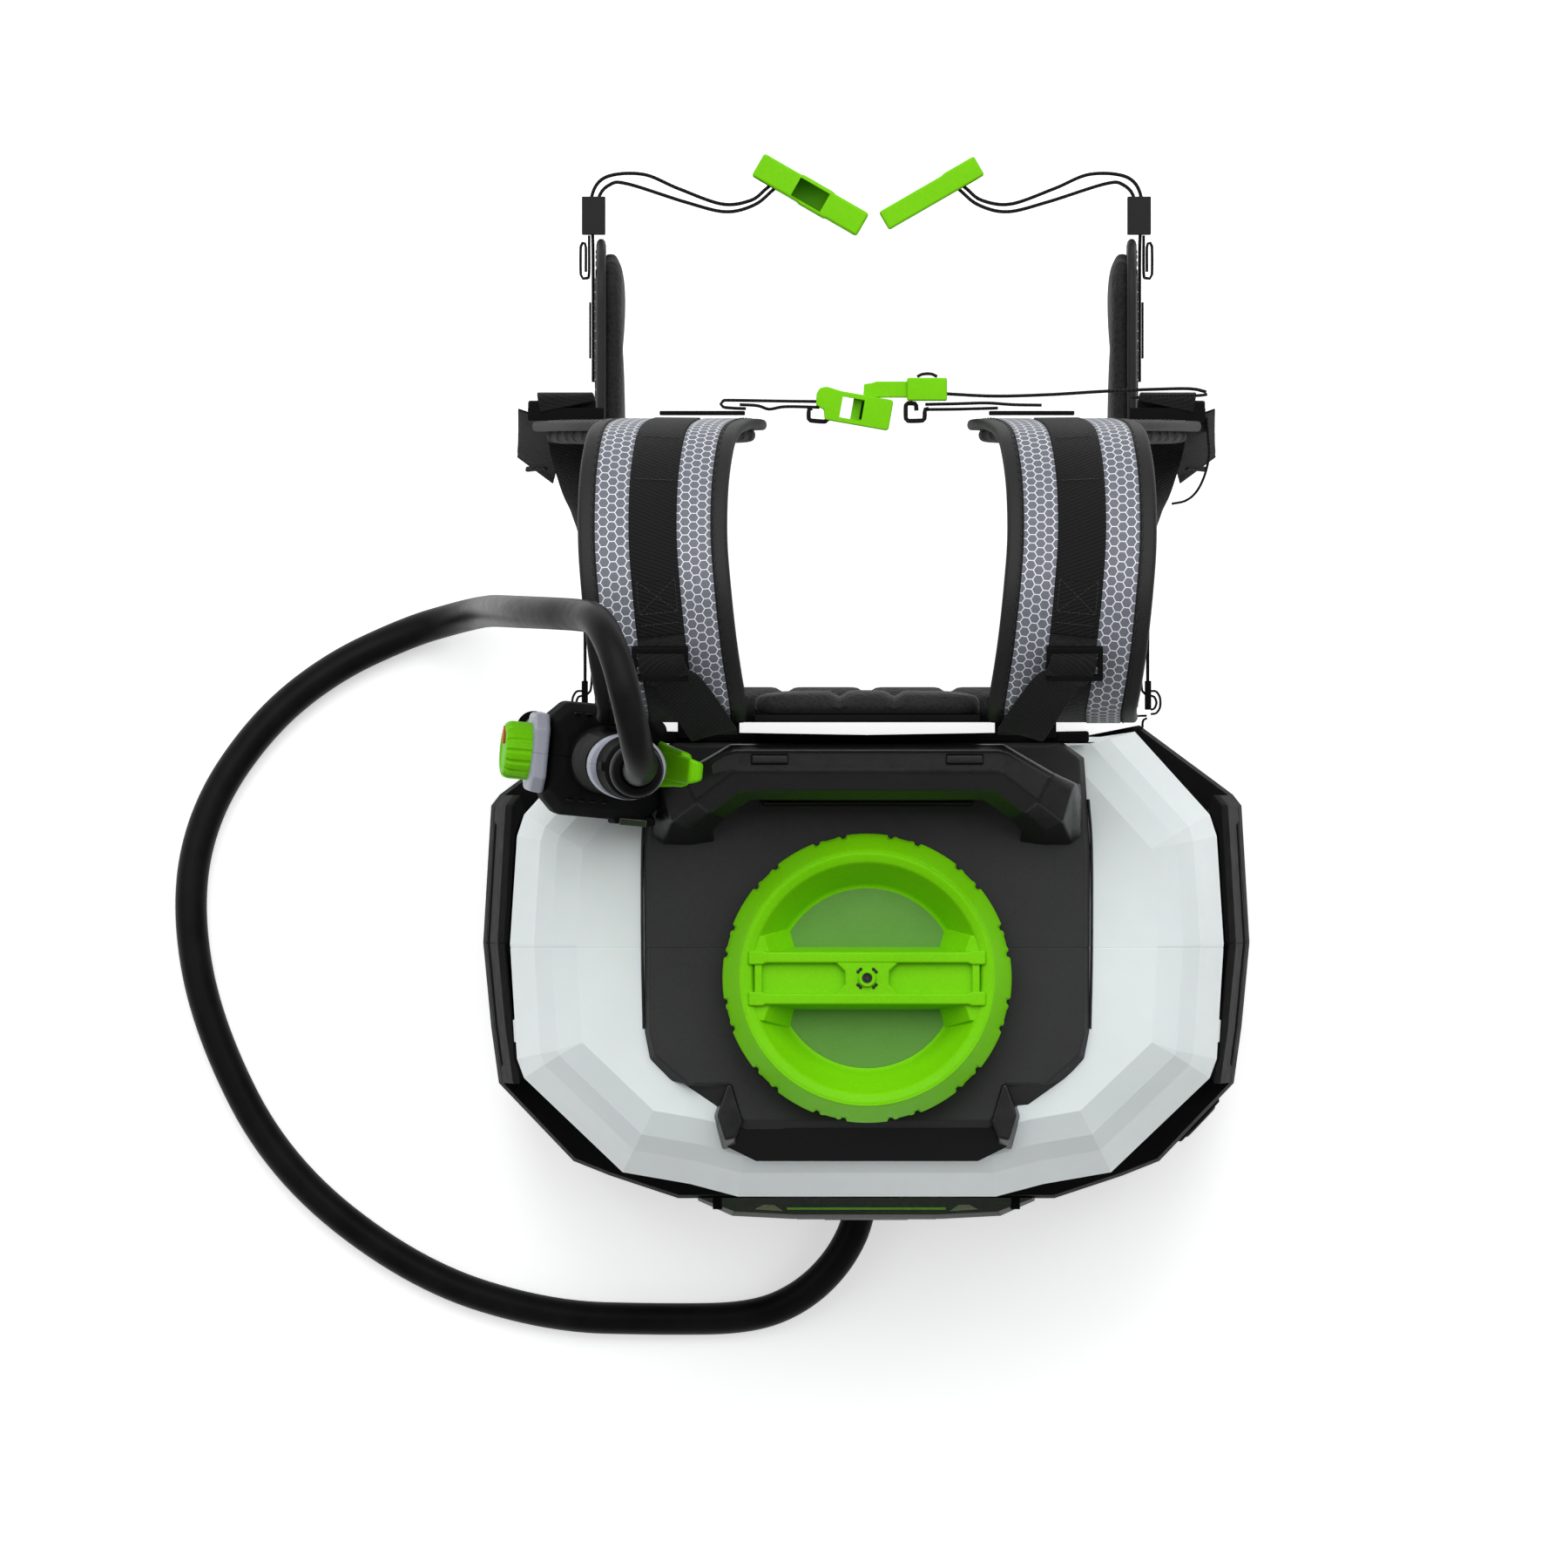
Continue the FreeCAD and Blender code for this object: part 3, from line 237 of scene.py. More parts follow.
def honeycomb():
    """Grey tape printed with reflective white hexagon outlines, points to the left and right."""
    s = Shader("reflective_honeycomb")
    across, along = s.lay()[:2]
    flat = 0.0054               # across the flats, along the strap
    step = flat * math.sqrt(3)  # two columns, across the strap

    def off_centre(place, shift, period):
        turned = s.math("FLOORED_MODULO", s.math("ADD", place, shift + period / 2), period)
        return s.math("ABSOLUTE", s.math("SUBTRACT", turned, period / 2))

    def nearest(shift_x, shift_y):
        far_x = off_centre(across, shift_x, step)
        far_y = off_centre(along, shift_y, flat)
        slant = s.math("MULTIPLY_ADD", far_y, 0.5, s.math("MULTIPLY", far_x, math.sqrt(3) / 2))
        return s.math("MAXIMUM", far_y, slant)

    hexagon = s.math("MINIMUM", nearest(0.0, 0.0), nearest(step / 2, flat / 2))
    line = s.spread(hexagon, 0.0, 1.0, flat / 2 - 0.00034, flat / 2 - 0.00020)
    weave = s.noise(2200.0, 2.0)
    cell = s.mix(s.spread(weave, 0, 1), srgb("50535C"), srgb("676A75"))
    s.set(Base_Color=s.mix(line, cell, srgb("D6D8DB")),
          Roughness=s.spread(line, 0.62, 0.3, 0.0, 1.0),
          Normal=s.bump(s.math("MULTIPLY_ADD", weave, 0.3, line), 0.00015, 0.8))
    return s.material


def pad_cloth():
    """Spacer mesh over foam: small round cells."""
    s = Shader("pad_cloth")
    cells = s.node("TexVoronoi", Vector=s.place(), Scale=420.0).outputs["Distance"]
    fuzz = s.noise(1500.0)
    s.set(Base_Color=s.mix(s.spread(cells, 0, 1, 0.1, 0.6), srgb("0E0E0F"), srgb("1A1A1B")),
          Roughness=s.spread(fuzz, 0.75, 0.92),
          Normal=s.bump(s.math("MULTIPLY_ADD", fuzz, 0.3, cells), 0.0005, 0.8),
          Sheen_Weight=0.08, Sheen_Roughness=0.5, Specular_IOR_Level=0.3)
    return s.material


def binding_tape():
    """Smooth folded tape along a pad's edge, with a fine rib."""
    s = Shader("binding_tape")
    along = s.lay()[1]
    rib = s.math("SINE", s.math("MULTIPLY", along, 2 * math.pi / 0.0012))
    fuzz = s.noise(1800.0)
    s.set(Base_Color=s.mix(s.spread(fuzz, 0, 1), srgb("121212"), srgb("1D1D1E")),
          Roughness=s.spread(fuzz, 0.5, 0.65), Specular_IOR_Level=0.25,
          Normal=s.bump(s.math("MULTIPLY_ADD", rib, 0.3, fuzz), 0.0001, 0.7))
    return s.material


def hose_rubber():
    s = Shader("hose_rubber")
    wear = s.noise(40.0, 5.0)
    s.set(Base_Color=s.mix(s.spread(wear, 0, 1), srgb("111111"), srgb("1A1A1A")),
          Roughness=s.spread(s.noise(160.0, 4.0), 0.36, 0.44), Specular_IOR_Level=0.06,
          Normal=s.bump(s.noise(900.0), 0.00003))
    return s.material


def metal(name, dark, light, rough):
    s = Shader(name)
    brush = s.node("Mapping", Vector=s.place(), Scale=(40.0, 1200.0, 40.0)).outputs["Vector"]
    streak = s.node("TexNoise", Vector=brush, Scale=1.0, Detail=3.0).outputs["Fac"]
    s.set(Base_Color=s.mix(s.spread(streak, 0, 1), srgb(dark), srgb(light)),
          Roughness=s.spread(streak, rough - 0.08, rough + 0.08), Metallic=1.0,
          Normal=s.bump(streak, 0.00002))
    return s.material


def circuit_board():
    s = Shader("circuit")
    chips = s.node("TexVoronoi", Vector=s.place(), Scale=160.0).outputs["Color"]
    channel = s.node("SeparateXYZ", Vector=chips).outputs[0]
    s.set(Base_Color=s.mix(s.spread(channel, 0, 1, 0.5, 0.6), srgb("14381F"), srgb("6F7378")),
          Roughness=s.spread(s.noise(400.0), 0.35, 0.55), Normal=s.bump(channel, 0.0006, 0.5))
    return s.material


def make_materials():
    return {
        "black": moulded("black_plastic", "0F0F10", "161617", 0.62, Specular_IOR_Level=0.02),
        "deck": moulded("deck_plastic", "2A2A2B", "323233", 0.46, Specular_IOR_Level=0.16),
        "handle": moulded("handle_plastic", "141415", "1C1C1D", 0.32, Specular_IOR_Level=0.3),
        "gloss": moulded("gloss_black", "050506", "0A0A0B", 0.26, 0.000004, Specular_IOR_Level=0.25),
        "tank": tank_plastic(),
        "green": moulded("green_plastic", "68BC02", "76CA0A", 0.44, 0.00002, Specular_IOR_Level=0.08),
        # a darker, duller copy of the lid's green: painted shade for the floor of the lid's bowl
        "lid_floor_painted_shade": moulded("green_painted_shade", "4E8422", "568E2A", 0.6, 0.00004),
        "grey": moulded("grey_plastic", "8F929E", "9EA1AE", 0.45),
        "battery": moulded("battery_casing", "26282A", "303335", 0.5),
        "smoked": smoked_plastic(),
        "glow": moulded("green_lens", "5FA81A", "74BE28", 0.25),
        "pane": moulded("clear_pane", "66734F", "8A9672", 0.15, 0.000004, Coat_Weight=0.5),
        "orange": moulded("orange_mark", "C8441C", "D8501F", 0.5),
        "webbing": webbing("black_webbing", "080809", "1F1F20"),
        "elastic": webbing("elastic_webbing", "101011", "333334", 0.0026),
        "honeycomb": honeycomb(),
        "pad": pad_cloth(),
        "binding": binding_tape(),
        "thread": moulded("sewing_thread", "0A0A0A", "1A1A1A", 0.7, 0.0001),
        "hose": hose_rubber(),
        "rubber": moulded("seal_rubber", "18181A", "222224", 0.7, 0.00005),
        "steel": metal("steel", "8C8F93", "B5B8BC", 0.32),
        "brass": metal("brass", "A8863A", "C9A552", 0.3),
        "composite": moulded("composite_tube", "0E0E0F", "191A1B", 0.3),
        "circuit": circuit_board(),
    }


SLOT_OF = {
    "black": "black_casing", "deck": "deck_plastic", "handle": "black_casing",
    "gloss": "badge_gloss", "tank": "tank_plastic", "green": "green_plastic",
    "lid_floor_painted_shade": "green_plastic", "grey": "grey_plastic", "battery": "battery_casing",
    "smoked": "smoked_plastic", "glow": "green_plastic", "pane": "smoked_plastic",
    "orange": "green_plastic", "webbing": "webbing", "elastic": "webbing",
    "honeycomb": "webbing", "pad": "pad_fabric", "binding": "pad_fabric", "thread": "webbing",
    "hose": "hose_rubber", "rubber": "seal_rubber", "steel": "steel", "brass": "brass",
    "composite": "composite_tube", "circuit": "circuit",
}


# ---- mesh helpers -------------------------------------------------------------------------
def finish_piece(name, bm, look, body=ROOT, smooth=32.0, weighted=True):
    """Turn a bmesh in metres into a shaded piece that rides on a body."""
    bmesh.ops.recalc_face_normals(bm, faces=bm.faces)
    mesh = bpy.data.meshes.new(name)
    bm.to_mesh(mesh)
    bm.free()
    mesh.materials.append(materials[look])
    mesh.polygons.foreach_set("use_smooth", [True] * len(mesh.polygons))
    mesh.set_sharp_from_angle(angle=math.radians(smooth))
    piece = bpy.data.objects.new(name, mesh)
    scene.collection.objects.link(piece)
    if weighted:
        piece.modifiers.new("weighted", "WEIGHTED_NORMAL").keep_sharp = True
    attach(piece, body)
    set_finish(piece, SLOT_OF[look])
    return piece


def scaled(points):
    return [Vector(p) * MM for p in points]


def add_rings(bm, rings, closed=False):
    """Join rings of points (in mm) into a skin, capped at both ends unless it closes on itself."""
    rows = [[bm.verts.new(p) for p in scaled(ring)] for ring in rings]
    count = len(rows[0])
    pairs = list(zip(rows, rows[1:]))
    if closed:
        pairs.append((rows[-1], rows[0]))
    for low, high in pairs:
        for i in range(count):
            j = (i + 1) % count
            bm.faces.new((low[i], low[j], high[j], high[i]))
    if not closed:
        bm.faces.new(rows[0][::-1])
        bm.faces.new(rows[-1])
    return rows


def bevel_edges(bm, width, segments, angle, keep=None):
    """Round the edges that turn by more than an angle."""
    limit = math.radians(angle)
    edges = [e for e in bm.edges if e.is_manifold and e.calc_face_angle(0.0) > limit
             and (keep is None or keep(e))]
    bmesh.ops.bevel(bm, geom=edges, offset=width * MM, segments=segments, profile=0.5,
                    affect="EDGES", clamp_overlap=True)


def loft(name, rings, look, body=ROOT, width=1.0, segments=3, angle=25.0, matrix=None, seam=None,
         smooth=32.0, weighted=True, closed=False, merge=0.0, stands_for=()):
    """A skin through rings with rounded edges; seam is (y, width, depth) of a line pressed in it."""
    bm = bmesh.new()
    add_rings(bm, rings, closed)
    if merge:
        bmesh.ops.remove_doubles(bm, verts=bm.verts, dist=merge)
    bmesh.ops.recalc_face_normals(bm, faces=bm.faces)
    if width:
        bevel_edges(bm, width, segments, angle)
    if seam:
        groove(bm, (0, seam[0], 0), (0, 1, 0), *seam[1:])
    if matrix is not None:
        bm.transform(matrix)
    piece = finish_piece(name, bm, look, body, smooth, weighted)
    if stands_for:
        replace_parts(piece, *stands_for)
    return piece


def extrude(outline, *levels):
    """Rings of one plan outline at several heights."""
    return [[(x, y, z) for x, y in outline] for z in levels]


def side_word(side):
    return "right" if side > 0 else "left"


def rectangle(x0, x1, y0, y1, z):
    return [(x0, y0, z), (x1, y0, z), (x1, y1, z), (x0, y1, z)]


def block(name, low, high, look, body=ROOT, width=1.0, taper=0.0, matrix=None):
    """A block with rounded edges, drawn in at the top by a taper."""
    rings = [rectangle(low[0], high[0], low[1], high[1], low[2]),
             rectangle(low[0] + taper, high[0] - taper, low[1] + taper, high[1] - taper, high[2])]
    return loft(name, rings, look, body, width, matrix=matrix)


def lathe(name, profile, look, body=ROOT, centre=(0.0, 0.0), steps=96, matrix=None, cut=None,
          stands_for=()):
    """Turn a closed profile of (radius, z) or (radius, z, share) about an upright axis.

    cut(angle) is how far the radius is drawn in there, times the point's share."""
    rings = []
    for i in range(steps):
        angle = 2 * math.pi * i / steps
        depth = cut(angle) if cut else 0.0
        rings.append([(centre[0] + (r - depth * sum(share)) * math.cos(angle),
                       centre[1] + (r - depth * sum(share)) * math.sin(angle), z)
                      for r, z, *share in profile])
    return loft(name, rings, look, body, 0, matrix=matrix, closed=True, merge=1e-6,
                stands_for=stands_for)


def cad_bmesh(node):
    """The CAD node's mesh with its facets joined up again."""
    bm = bmesh.new()
    bm.from_mesh(frame["nodes"][node].data)
    bmesh.ops.remove_doubles(bm, verts=bm.verts, dist=2e-6)
    bmesh.ops.dissolve_limit(bm, angle_limit=math.radians(0.4), verts=bm.verts, edges=bm.edges)
    return bm


def rounded(node, look, width, change=None):
    """A piece with the CAD node's own shape and softened edges, shown in its place."""
    bm = cad_bmesh(node)
    bevel_edges(bm, width, 3, 28.0)
    if change is not None:
        change(bm)
    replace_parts(finish_piece(node + "_shown", bm, look, frame["nodes"][node]["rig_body"]), node)


def groove(bm, point, normal, width, depth):
    """Press a V line into a skin where a plane crosses it."""
    normal = Vector(normal).normalized()
    centre = Vector(point) * MM
    for offset in (-width / 2, 0.0, width / 2):
        geometry = bm.verts[:] + bm.edges[:] + bm.faces[:]
        bmesh.ops.bisect_plane(bm, geom=geometry, dist=1e-7, plane_co=centre + normal * offset * MM,
                               plane_no=normal)
    bm.normal_update()
    for vertex in bm.verts:
        if abs((vertex.co - centre).dot(normal)) < 1e-5:
            inward = vertex.normal - normal * vertex.normal.dot(normal)
            vertex.co -= inward * depth * MM


# ---- strips: webbing, tape and pads -------------------------------------------------------
def catmull(points, step):
    """A smooth line through points."""
    points = [Vector(p) for p in points]
    ends = [2 * points[0] - points[1]] + points + [2 * points[-1] - points[-2]]
    line = []
    for i in range(1, len(ends) - 2):
        before, start, end, after = ends[i - 1:i + 3]
        count = max(1, round((end - start).length / step))
        for k in range(count):
            t = k / count
            line.append(0.5 * (2 * start + (end - before) * t
                               + (2 * before - 5 * start + 4 * end - after) * t * t
                               + (3 * start - before - 3 * end + after) * t ** 3))
    line.append(ends[-2].copy())
    return line


def heading(line, i):
    """The unit direction of a line at its point i."""
    return (line[min(i + 1, len(line) - 1)] - line[max(i - 1, 0)]).normalized()


def frames_along(line, acrosses):
    """For each point of a line: unit across and outward vectors. acrosses is a list spread evenly."""
    made = []
    last = len(acrosses) - 1
    for i in range(len(line)):
        along = heading(line, i)
        place = i / (len(line) - 1) * last
        k = min(int(place), max(last - 1, 0))
        across = Vector(acrosses[k]).lerp(Vector(acrosses[min(k + 1, last)]), place - k)
        across = (across - along * across.dot(along)).normalized()
        made.append((across, along.cross(across)))
    return made


def strap_skin(name, rows, look, body):
    """A strap's skin: rows of (place, lay), both in mm, where lay is (across, along, depth)."""
    bm = bmesh.new()
    layer = bm.verts.layers.float_vector.new("lay")
    skin = add_rings(bm, [[place for place, lay in row] for row in rows])
    for made, row in zip(skin, rows):
        for vertex, (place, lay) in zip(made, row):
            vertex[layer] = Vector(lay) * MM
    return finish_piece(name, bm, look, body, 50.0, weighted=False)


def on_edge(name, points, middle_z, width, thick, look, body=ROOT, step=2.0):
    """Webbing that stands on edge along a plan line."""
    line = catmull([(x, y, middle_z) for x, y in points], step)
    half = width / 2
    lip = min(0.35 * thick, 0.2 * half)
    upper = [(-half, 0.2 * thick), (-half + lip, 0.5 * thick), (half - lip, 0.5 * thick),
             (half, 0.2 * thick)]
    section = upper + [(-u, -w) for u, w in upper]
    rows = []
    travelled = 0.0
    last = line[0]
    for centre, (across, outward) in zip(line, frames_along(line, [(0, 0, 1)])):
        travelled += (centre - last).length
        last = centre
        rows.append([(centre + across * u + outward * w, (u, travelled, w)) for u, w in section])
    return strap_skin(name, rows, look, body)


def mirrored(piece, name, replaced=()):
    """The same piece on the other side."""
    mesh = piece.data.copy()
    mesh.transform(Matrix.Scale(-1, 4, (1, 0, 0)))
    mesh.flip_normals()
    copy = bpy.data.objects.new(name, mesh)
    scene.collection.objects.link(copy)
    for old in piece.modifiers:
        copy.modifiers.new(old.name, old.type)
    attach(copy, piece["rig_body"])
    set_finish(copy, piece["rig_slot"])
    if replaced:
        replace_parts(copy, *replaced)
    return copy


def tube(name, points, radius, look, sides):
    """A round bar along a smooth line."""
    line = catmull(points, 1.5)
    across = heading(line, 0).orthogonal().normalized()
    rings = []
    for i, centre in enumerate(line):
        along = heading(line, i)
        across = (across - along * across.dot(along)).normalized()
        other = along.cross(across)
        rings.append([centre + across * radius * math.cos(2 * math.pi * k / sides)
                      + other * radius * math.sin(2 * math.pi * k / sides) for k in range(sides)])
    bm = bmesh.new()
    add_rings(bm, rings)
    return finish_piece(name, bm, look, ROOT, 45.0, weighted=False)


# ---- padding by cloth simulation ----------------------------------------------------------
CLOTH_PRESSURE = 4.0
CLOTH_FRAMES = 20


def inflate(piece, voxel, cap, pinned):
    """Swell a closed pad: voxel remesh, cloth under pressure, capped movement, one subdivision."""
    remesh = piece.modifiers.new("remesh", "REMESH")
    remesh.mode = "VOXEL"
    remesh.voxel_size = voxel * MM
    bake_modifiers(piece)
    rest = [v.co.copy() for v in piece.data.vertices]
    held = [i for i, co in enumerate(rest) if pinned(co / MM)]
    if held:
        group = piece.vertex_groups.new(name="held")
        group.add(held, 1.0, "REPLACE")
    cloth = piece.modifiers.new("cloth", "CLOTH")
    cloth.settings.use_pressure = True
    cloth.settings.uniform_pressure_force = CLOTH_PRESSURE
    cloth.settings.effector_weights.gravity = 0.0
    if held:
        cloth.settings.vertex_group_mass = "held"
    cloth.point_cache.frame_start = 1
    cloth.point_cache.frame_end = CLOTH_FRAMES
    for number in range(1, CLOTH_FRAMES + 1):
        scene.frame_set(number)
    shown = piece.evaluated_get(bpy.context.evaluated_depsgraph_get())
    moved = [v.co.copy() for v in shown.data.vertices]
    piece.modifiers.remove(cloth)
    for vertex, old, new in zip(piece.data.vertices, rest, moved):
        step = new - old
        if step.length > cap * MM:
            step *= cap * MM / step.length
        vertex.co = old + step
    scene.frame_set(1)
    piece.modifiers.new("smooth", "SUBSURF").levels = 1
    bake_modifiers(piece)
    piece.data.polygons.foreach_set("use_smooth", [True] * len(piece.data.polygons))


def bake_modifiers(piece):
    bpy.context.view_layer.update()
    shown = piece.evaluated_get(bpy.context.evaluated_depsgraph_get())
    mesh = bpy.data.meshes.new_from_object(shown)
    old = piece.data
    piece.modifiers.clear()
    piece.data = mesh
    mesh.name = old.name


# ---- the hose -----------------------------------------------------------------------------
HOSE_DIAMETER = 0.0177
HOSE_ROUTE = [
    (-0.1271, 0.1062, 0.5762), (-0.1223, 0.1046, 0.6128), (-0.1255, 0.117, 0.640),
    (-0.1305, 0.141, 0.656), (-0.1375, 0.169, 0.651), (-0.147, 0.1885, 0.626),
    (-0.156, 0.1908, 0.588), (-0.176, 0.192, 0.545), (-0.192, 0.1928, 0.484),
    (-0.200, 0.1934, 0.400), (-0.2045, 0.1938, 0.305), (-0.207, 0.194, 0.210),
    (-0.210, 0.194, 0.120), (-0.215, 0.1935, 0.062), (-0.228, 0.1905, 0.028),
    (-0.254, 0.183, 0.010), (-0.298, 0.1625, 0.009), (-0.336, 0.131, 0.009),
    (-0.3675, 0.084, 0.009), (-0.3777, 0.0304, 0.009), (-0.3658, -0.0369, 0.009),
    (-0.3259, -0.1153, 0.009), (-0.251, -0.1738, 0.009), (-0.177, -0.1974, 0.009),
    (-0.112, -0.199, 0.009), (-0.0638, -0.1983, 0.0093), (-0.0353, -0.1867, 0.0115),
    (-0.0135, -0.1649, 0.0165), (-0.0017, -0.1374, 0.020), (-0.0017, -0.1105, 0.020),
]


def make_hose():
    curve = bpy.data.curves.new("hose", "CURVE")
    curve.dimensions = "3D"
    curve.bevel_depth = HOSE_DIAMETER / 2
    curve.bevel_resolution = 8
    spline = curve.splines.new("NURBS")
    spline.points.add(len(HOSE_ROUTE) - 1)
    for point, place in zip(spline.points, HOSE_ROUTE):
        point.co = (*place, 1.0)
    spline.order_u = 3
    spline.use_endpoint_u = True
    spline.resolution_u = 12
    curve.use_fill_caps = True
    curve.materials.append(materials["hose"])
    hose = bpy.data.objects.new("hose", curve)
    scene.collection.objects.link(hose)
    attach(hose, ROOT)
    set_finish(hose, "hose_rubber")
    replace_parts(hose, "spray_hose")


# ---- floor and light ----------------------------------------------------------------------
def make_stage():
    s = Shader("floor")
    s.set(Base_Color=s.mix(s.spread(s.noise(3.0), 0, 1), srgb("F4F5F5"), srgb("F7F8F8")), Roughness=0.9,
          Emission_Color=(1.0, 1.0, 1.0, 1.0), Emission_Strength=0.5)
    bm = bmesh.new()
    bmesh.ops.create_grid(bm, x_segments=2, y_segments=2, size=6.0)
    mesh = bpy.data.meshes.new("floor")
    bm.to_mesh(mesh)
    bm.free()
    mesh.materials.append(s.material)
    floor = bpy.data.objects.new("floor", mesh)
    floor.location.z = -0.0005
    scene.collection.objects.link(floor)

    world = bpy.data.worlds.new("studio")
    world.use_nodes = True
    world.node_tree.nodes["Background"].inputs[0].default_value = (1.0, 1.0, 1.0, 1.0)
    world.node_tree.nodes["Background"].inputs[1].default_value = 0.22
    scene.world = world
    middle = (0.0, 0.05, 0.3)
    soft_box("back_light", (0.0, 1.7, 2.6), middle, 3.0, 86.0)
    soft_box("left_light", (-2.0, 0.5, 2.1), middle, 2.2, 17.0)
    soft_box("right_light", (2.0, 0.5, 2.1), middle, 2.2, 17.0)
    soft_box("rear_light", (0.2, -2.0, 1.5), middle, 1.6, 2.0)
    scene.view_settings.view_transform = "Standard"


def soft_box(name, place, target, size, power):
    data = bpy.data.lights.new(name, "AREA")
    data.shape = "SQUARE"
    data.size = size
    data.energy = power
    light = bpy.data.objects.new(name, data)
    light.location = place
    light.rotation_euler = (Vector(target) - Vector(place)).to_track_quat("-Z", "Y").to_euler()
    scene.collection.objects.link(light)


make_camera()
materials = make_materials()
make_hose()
make_stage()


# ---- rigid pieces that keep the CAD shape -------------------------------------------------
def paint(look, *nodes):
    """Give carried-over CAD nodes their material."""
    for name in nodes:
        data = frame["nodes"][name].data
        data.materials.clear()
        data.materials.append(materials[look])


def make_hidden():
    paint("black", "bottom_cover", "pump_head", "battery_terminals")
    paint("steel", "case_screws", "battery_door_pins", "pump_motor", "trigger_pin")
    paint("brass", "valve_body")
    paint("battery", "battery_pack")
    paint("green", "battery_latch", "strainer_basket")
    paint("circuit", "controller_board")
    paint("rubber", "suction_tube", "outlet_tube", "lid_gasket")


def base_lines(bm):
    """Two pressed lines around the base, under and over its upright band."""
    for z in (45.0, 120.0):
        groove(bm, (0, 0, z), (0, 0, 1), 1.6, 0.9)


def make_side_panel(side):
    """An upright guard plate: chamfered all round, with a sunk field on its outer face."""
    bm = bmesh.new()
    add_rings(bm, [[(side * (x - step), y, z) for x, y in PANEL_OUTER]
                   + [(side * x, y, z) for x, y in PANEL_INNER] for step, z in PANEL_LEVELS])
    bmesh.ops.recalc_face_normals(bm, faces=bm.faces)
    field = [f for f in bm.faces
             if side * f.normal.x > 0.9 and side * f.calc_center_median().x > PANEL_FIELD_X * MM]
    for thickness, depth in ((9.0, 0.0), (1.5, -1.2)):
        bmesh.ops.inset_region(bm, faces=field, thickness=thickness * MM, depth=depth * MM,
                               use_even_offset=True)
    bevel_edges(bm, 2.2, 4, 20.0, lambda edge: not any(f in field for f in edge.link_faces))
    groove(bm, (0, SHELL_SEAM, 0), (0, 1, 0), 1.2, 0.6)
    node = "side_panel_" + side_word(side)
    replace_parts(finish_piece(node + "_shown", bm, "black"), node)


SHELL_SEAM = 10.6
PANEL_FIELD_X = 198.0
PANEL_LEVELS = [(2.2, 150.2), (5.5, 230.0), (8.6, 292.0), (12.5, 300.0)]
PANEL_OUTER = [(203.5, -67.2), (207.8, -36.0), (212.2, 10.6), (207.8, 86.4), (203.0, 92.6)]
PANEL_INNER = [(188.4, 84.0), (193.6, 70.6), (197.4, 10.6), (193.6, -53.2), (190.0, -62.0)]
SLIDER_MIDDLE_Y = 301.0
SLIDER_THINNED = 1.9


def clear_of_strap(bm):
    """Thin the sliders on the strap's side, so that they pass its seams."""
    for vertex in bm.verts:
        if vertex.co.y < SLIDER_MIDDLE_Y * MM:
            vertex.co.y += SLIDER_THINNED * MM


make_hidden()
for node in ("base_shell_front", "base_shell_rear"):
    rounded(node, "black", 2.0, base_lines)
for side in (1, -1):
    make_side_panel(side)
for node, look, width in (("badge_plate", "gloss", 1.0), ("outlet_fitting", "black", 0.6),
                          ("wand_tube", "composite", 0.6), ("wand_nozzle", "black", 0.6),
                          ("wand_clips", "black", 0.6), ("back_plate", "black", 1.0),
                          ("ladder_locks", "black", 0.6)):
    rounded(node, look, width)
rounded("chest_sliders", "black", 0.6, clear_of_strap)
rounded("belt_keepers", "elastic", 0.4)
rounded("side_triglides", "black", 0.5)


# ---- harness ------------------------------------------------------------------------------
class Run:
    """A smooth line with a width direction: places on it are (along, across, lift) in mm."""

    def __init__(self, points, acrosses, step=3.0):
        self.line = catmull(points, step)
        self.frames = frames_along(self.line, acrosses)
        self.lengths = [0.0]
        for last, centre in zip(self.line, self.line[1:]):
            self.lengths.append(self.lengths[-1] + (centre - last).length)
        self.length = self.lengths[-1]
        self.tree = KDTree(len(self.line))
        for i, centre in enumerate(self.line):
            self.tree.insert(centre, i)
        self.tree.balance()

    def at(self, along, across=0.0, lift=0.0):
        along = min(max(along, 0.0), self.length)
        i = min(bisect.bisect_right(self.lengths, along), len(self.line) - 1) - 1
        share = (along - self.lengths[i]) / (self.lengths[i + 1] - self.lengths[i])
        centre = self.line[i].lerp(self.line[i + 1], share)
        side = self.frames[i][0].lerp(self.frames[i + 1][0], share)
        out = self.frames[i][1].lerp(self.frames[i + 1][1], share)
        return centre + side * across + out * lift

    def locate(self, point):
        centre, i = self.tree.find(point)[:2]
        step = point - centre
        side, out = self.frames[i]
        return self.lengths[i], step.dot(side), step.dot(out)

    def where(self, test):
        """Distance along at the first point that passes a test."""
        return next(s for s, p in zip(self.lengths, self.line) if test(p))


def run_strip(name, run, width, thick, look, shift=0.0, lift=0.0, columns=1, start=0.0, end=None,
              lip=None, step=3.0):
    """A flat strap that follows part of a run, with its lay written on it."""
    end = run.length if end is None else end
    count = max(2, round((end - start) / step))
    edge = min(0.35 * thick if lip is None else lip, 0.225 * width)
    section = strap_section(width / 2, thick, edge, columns)
    rows = []
    for k in range(count + 1):
        along = start + (end - start) * k / count
        rows.append([(run.at(along, u + shift, w + lift), (u, along, w)) for u, w in section])
    return strap_skin(name, rows, look, ROOT)


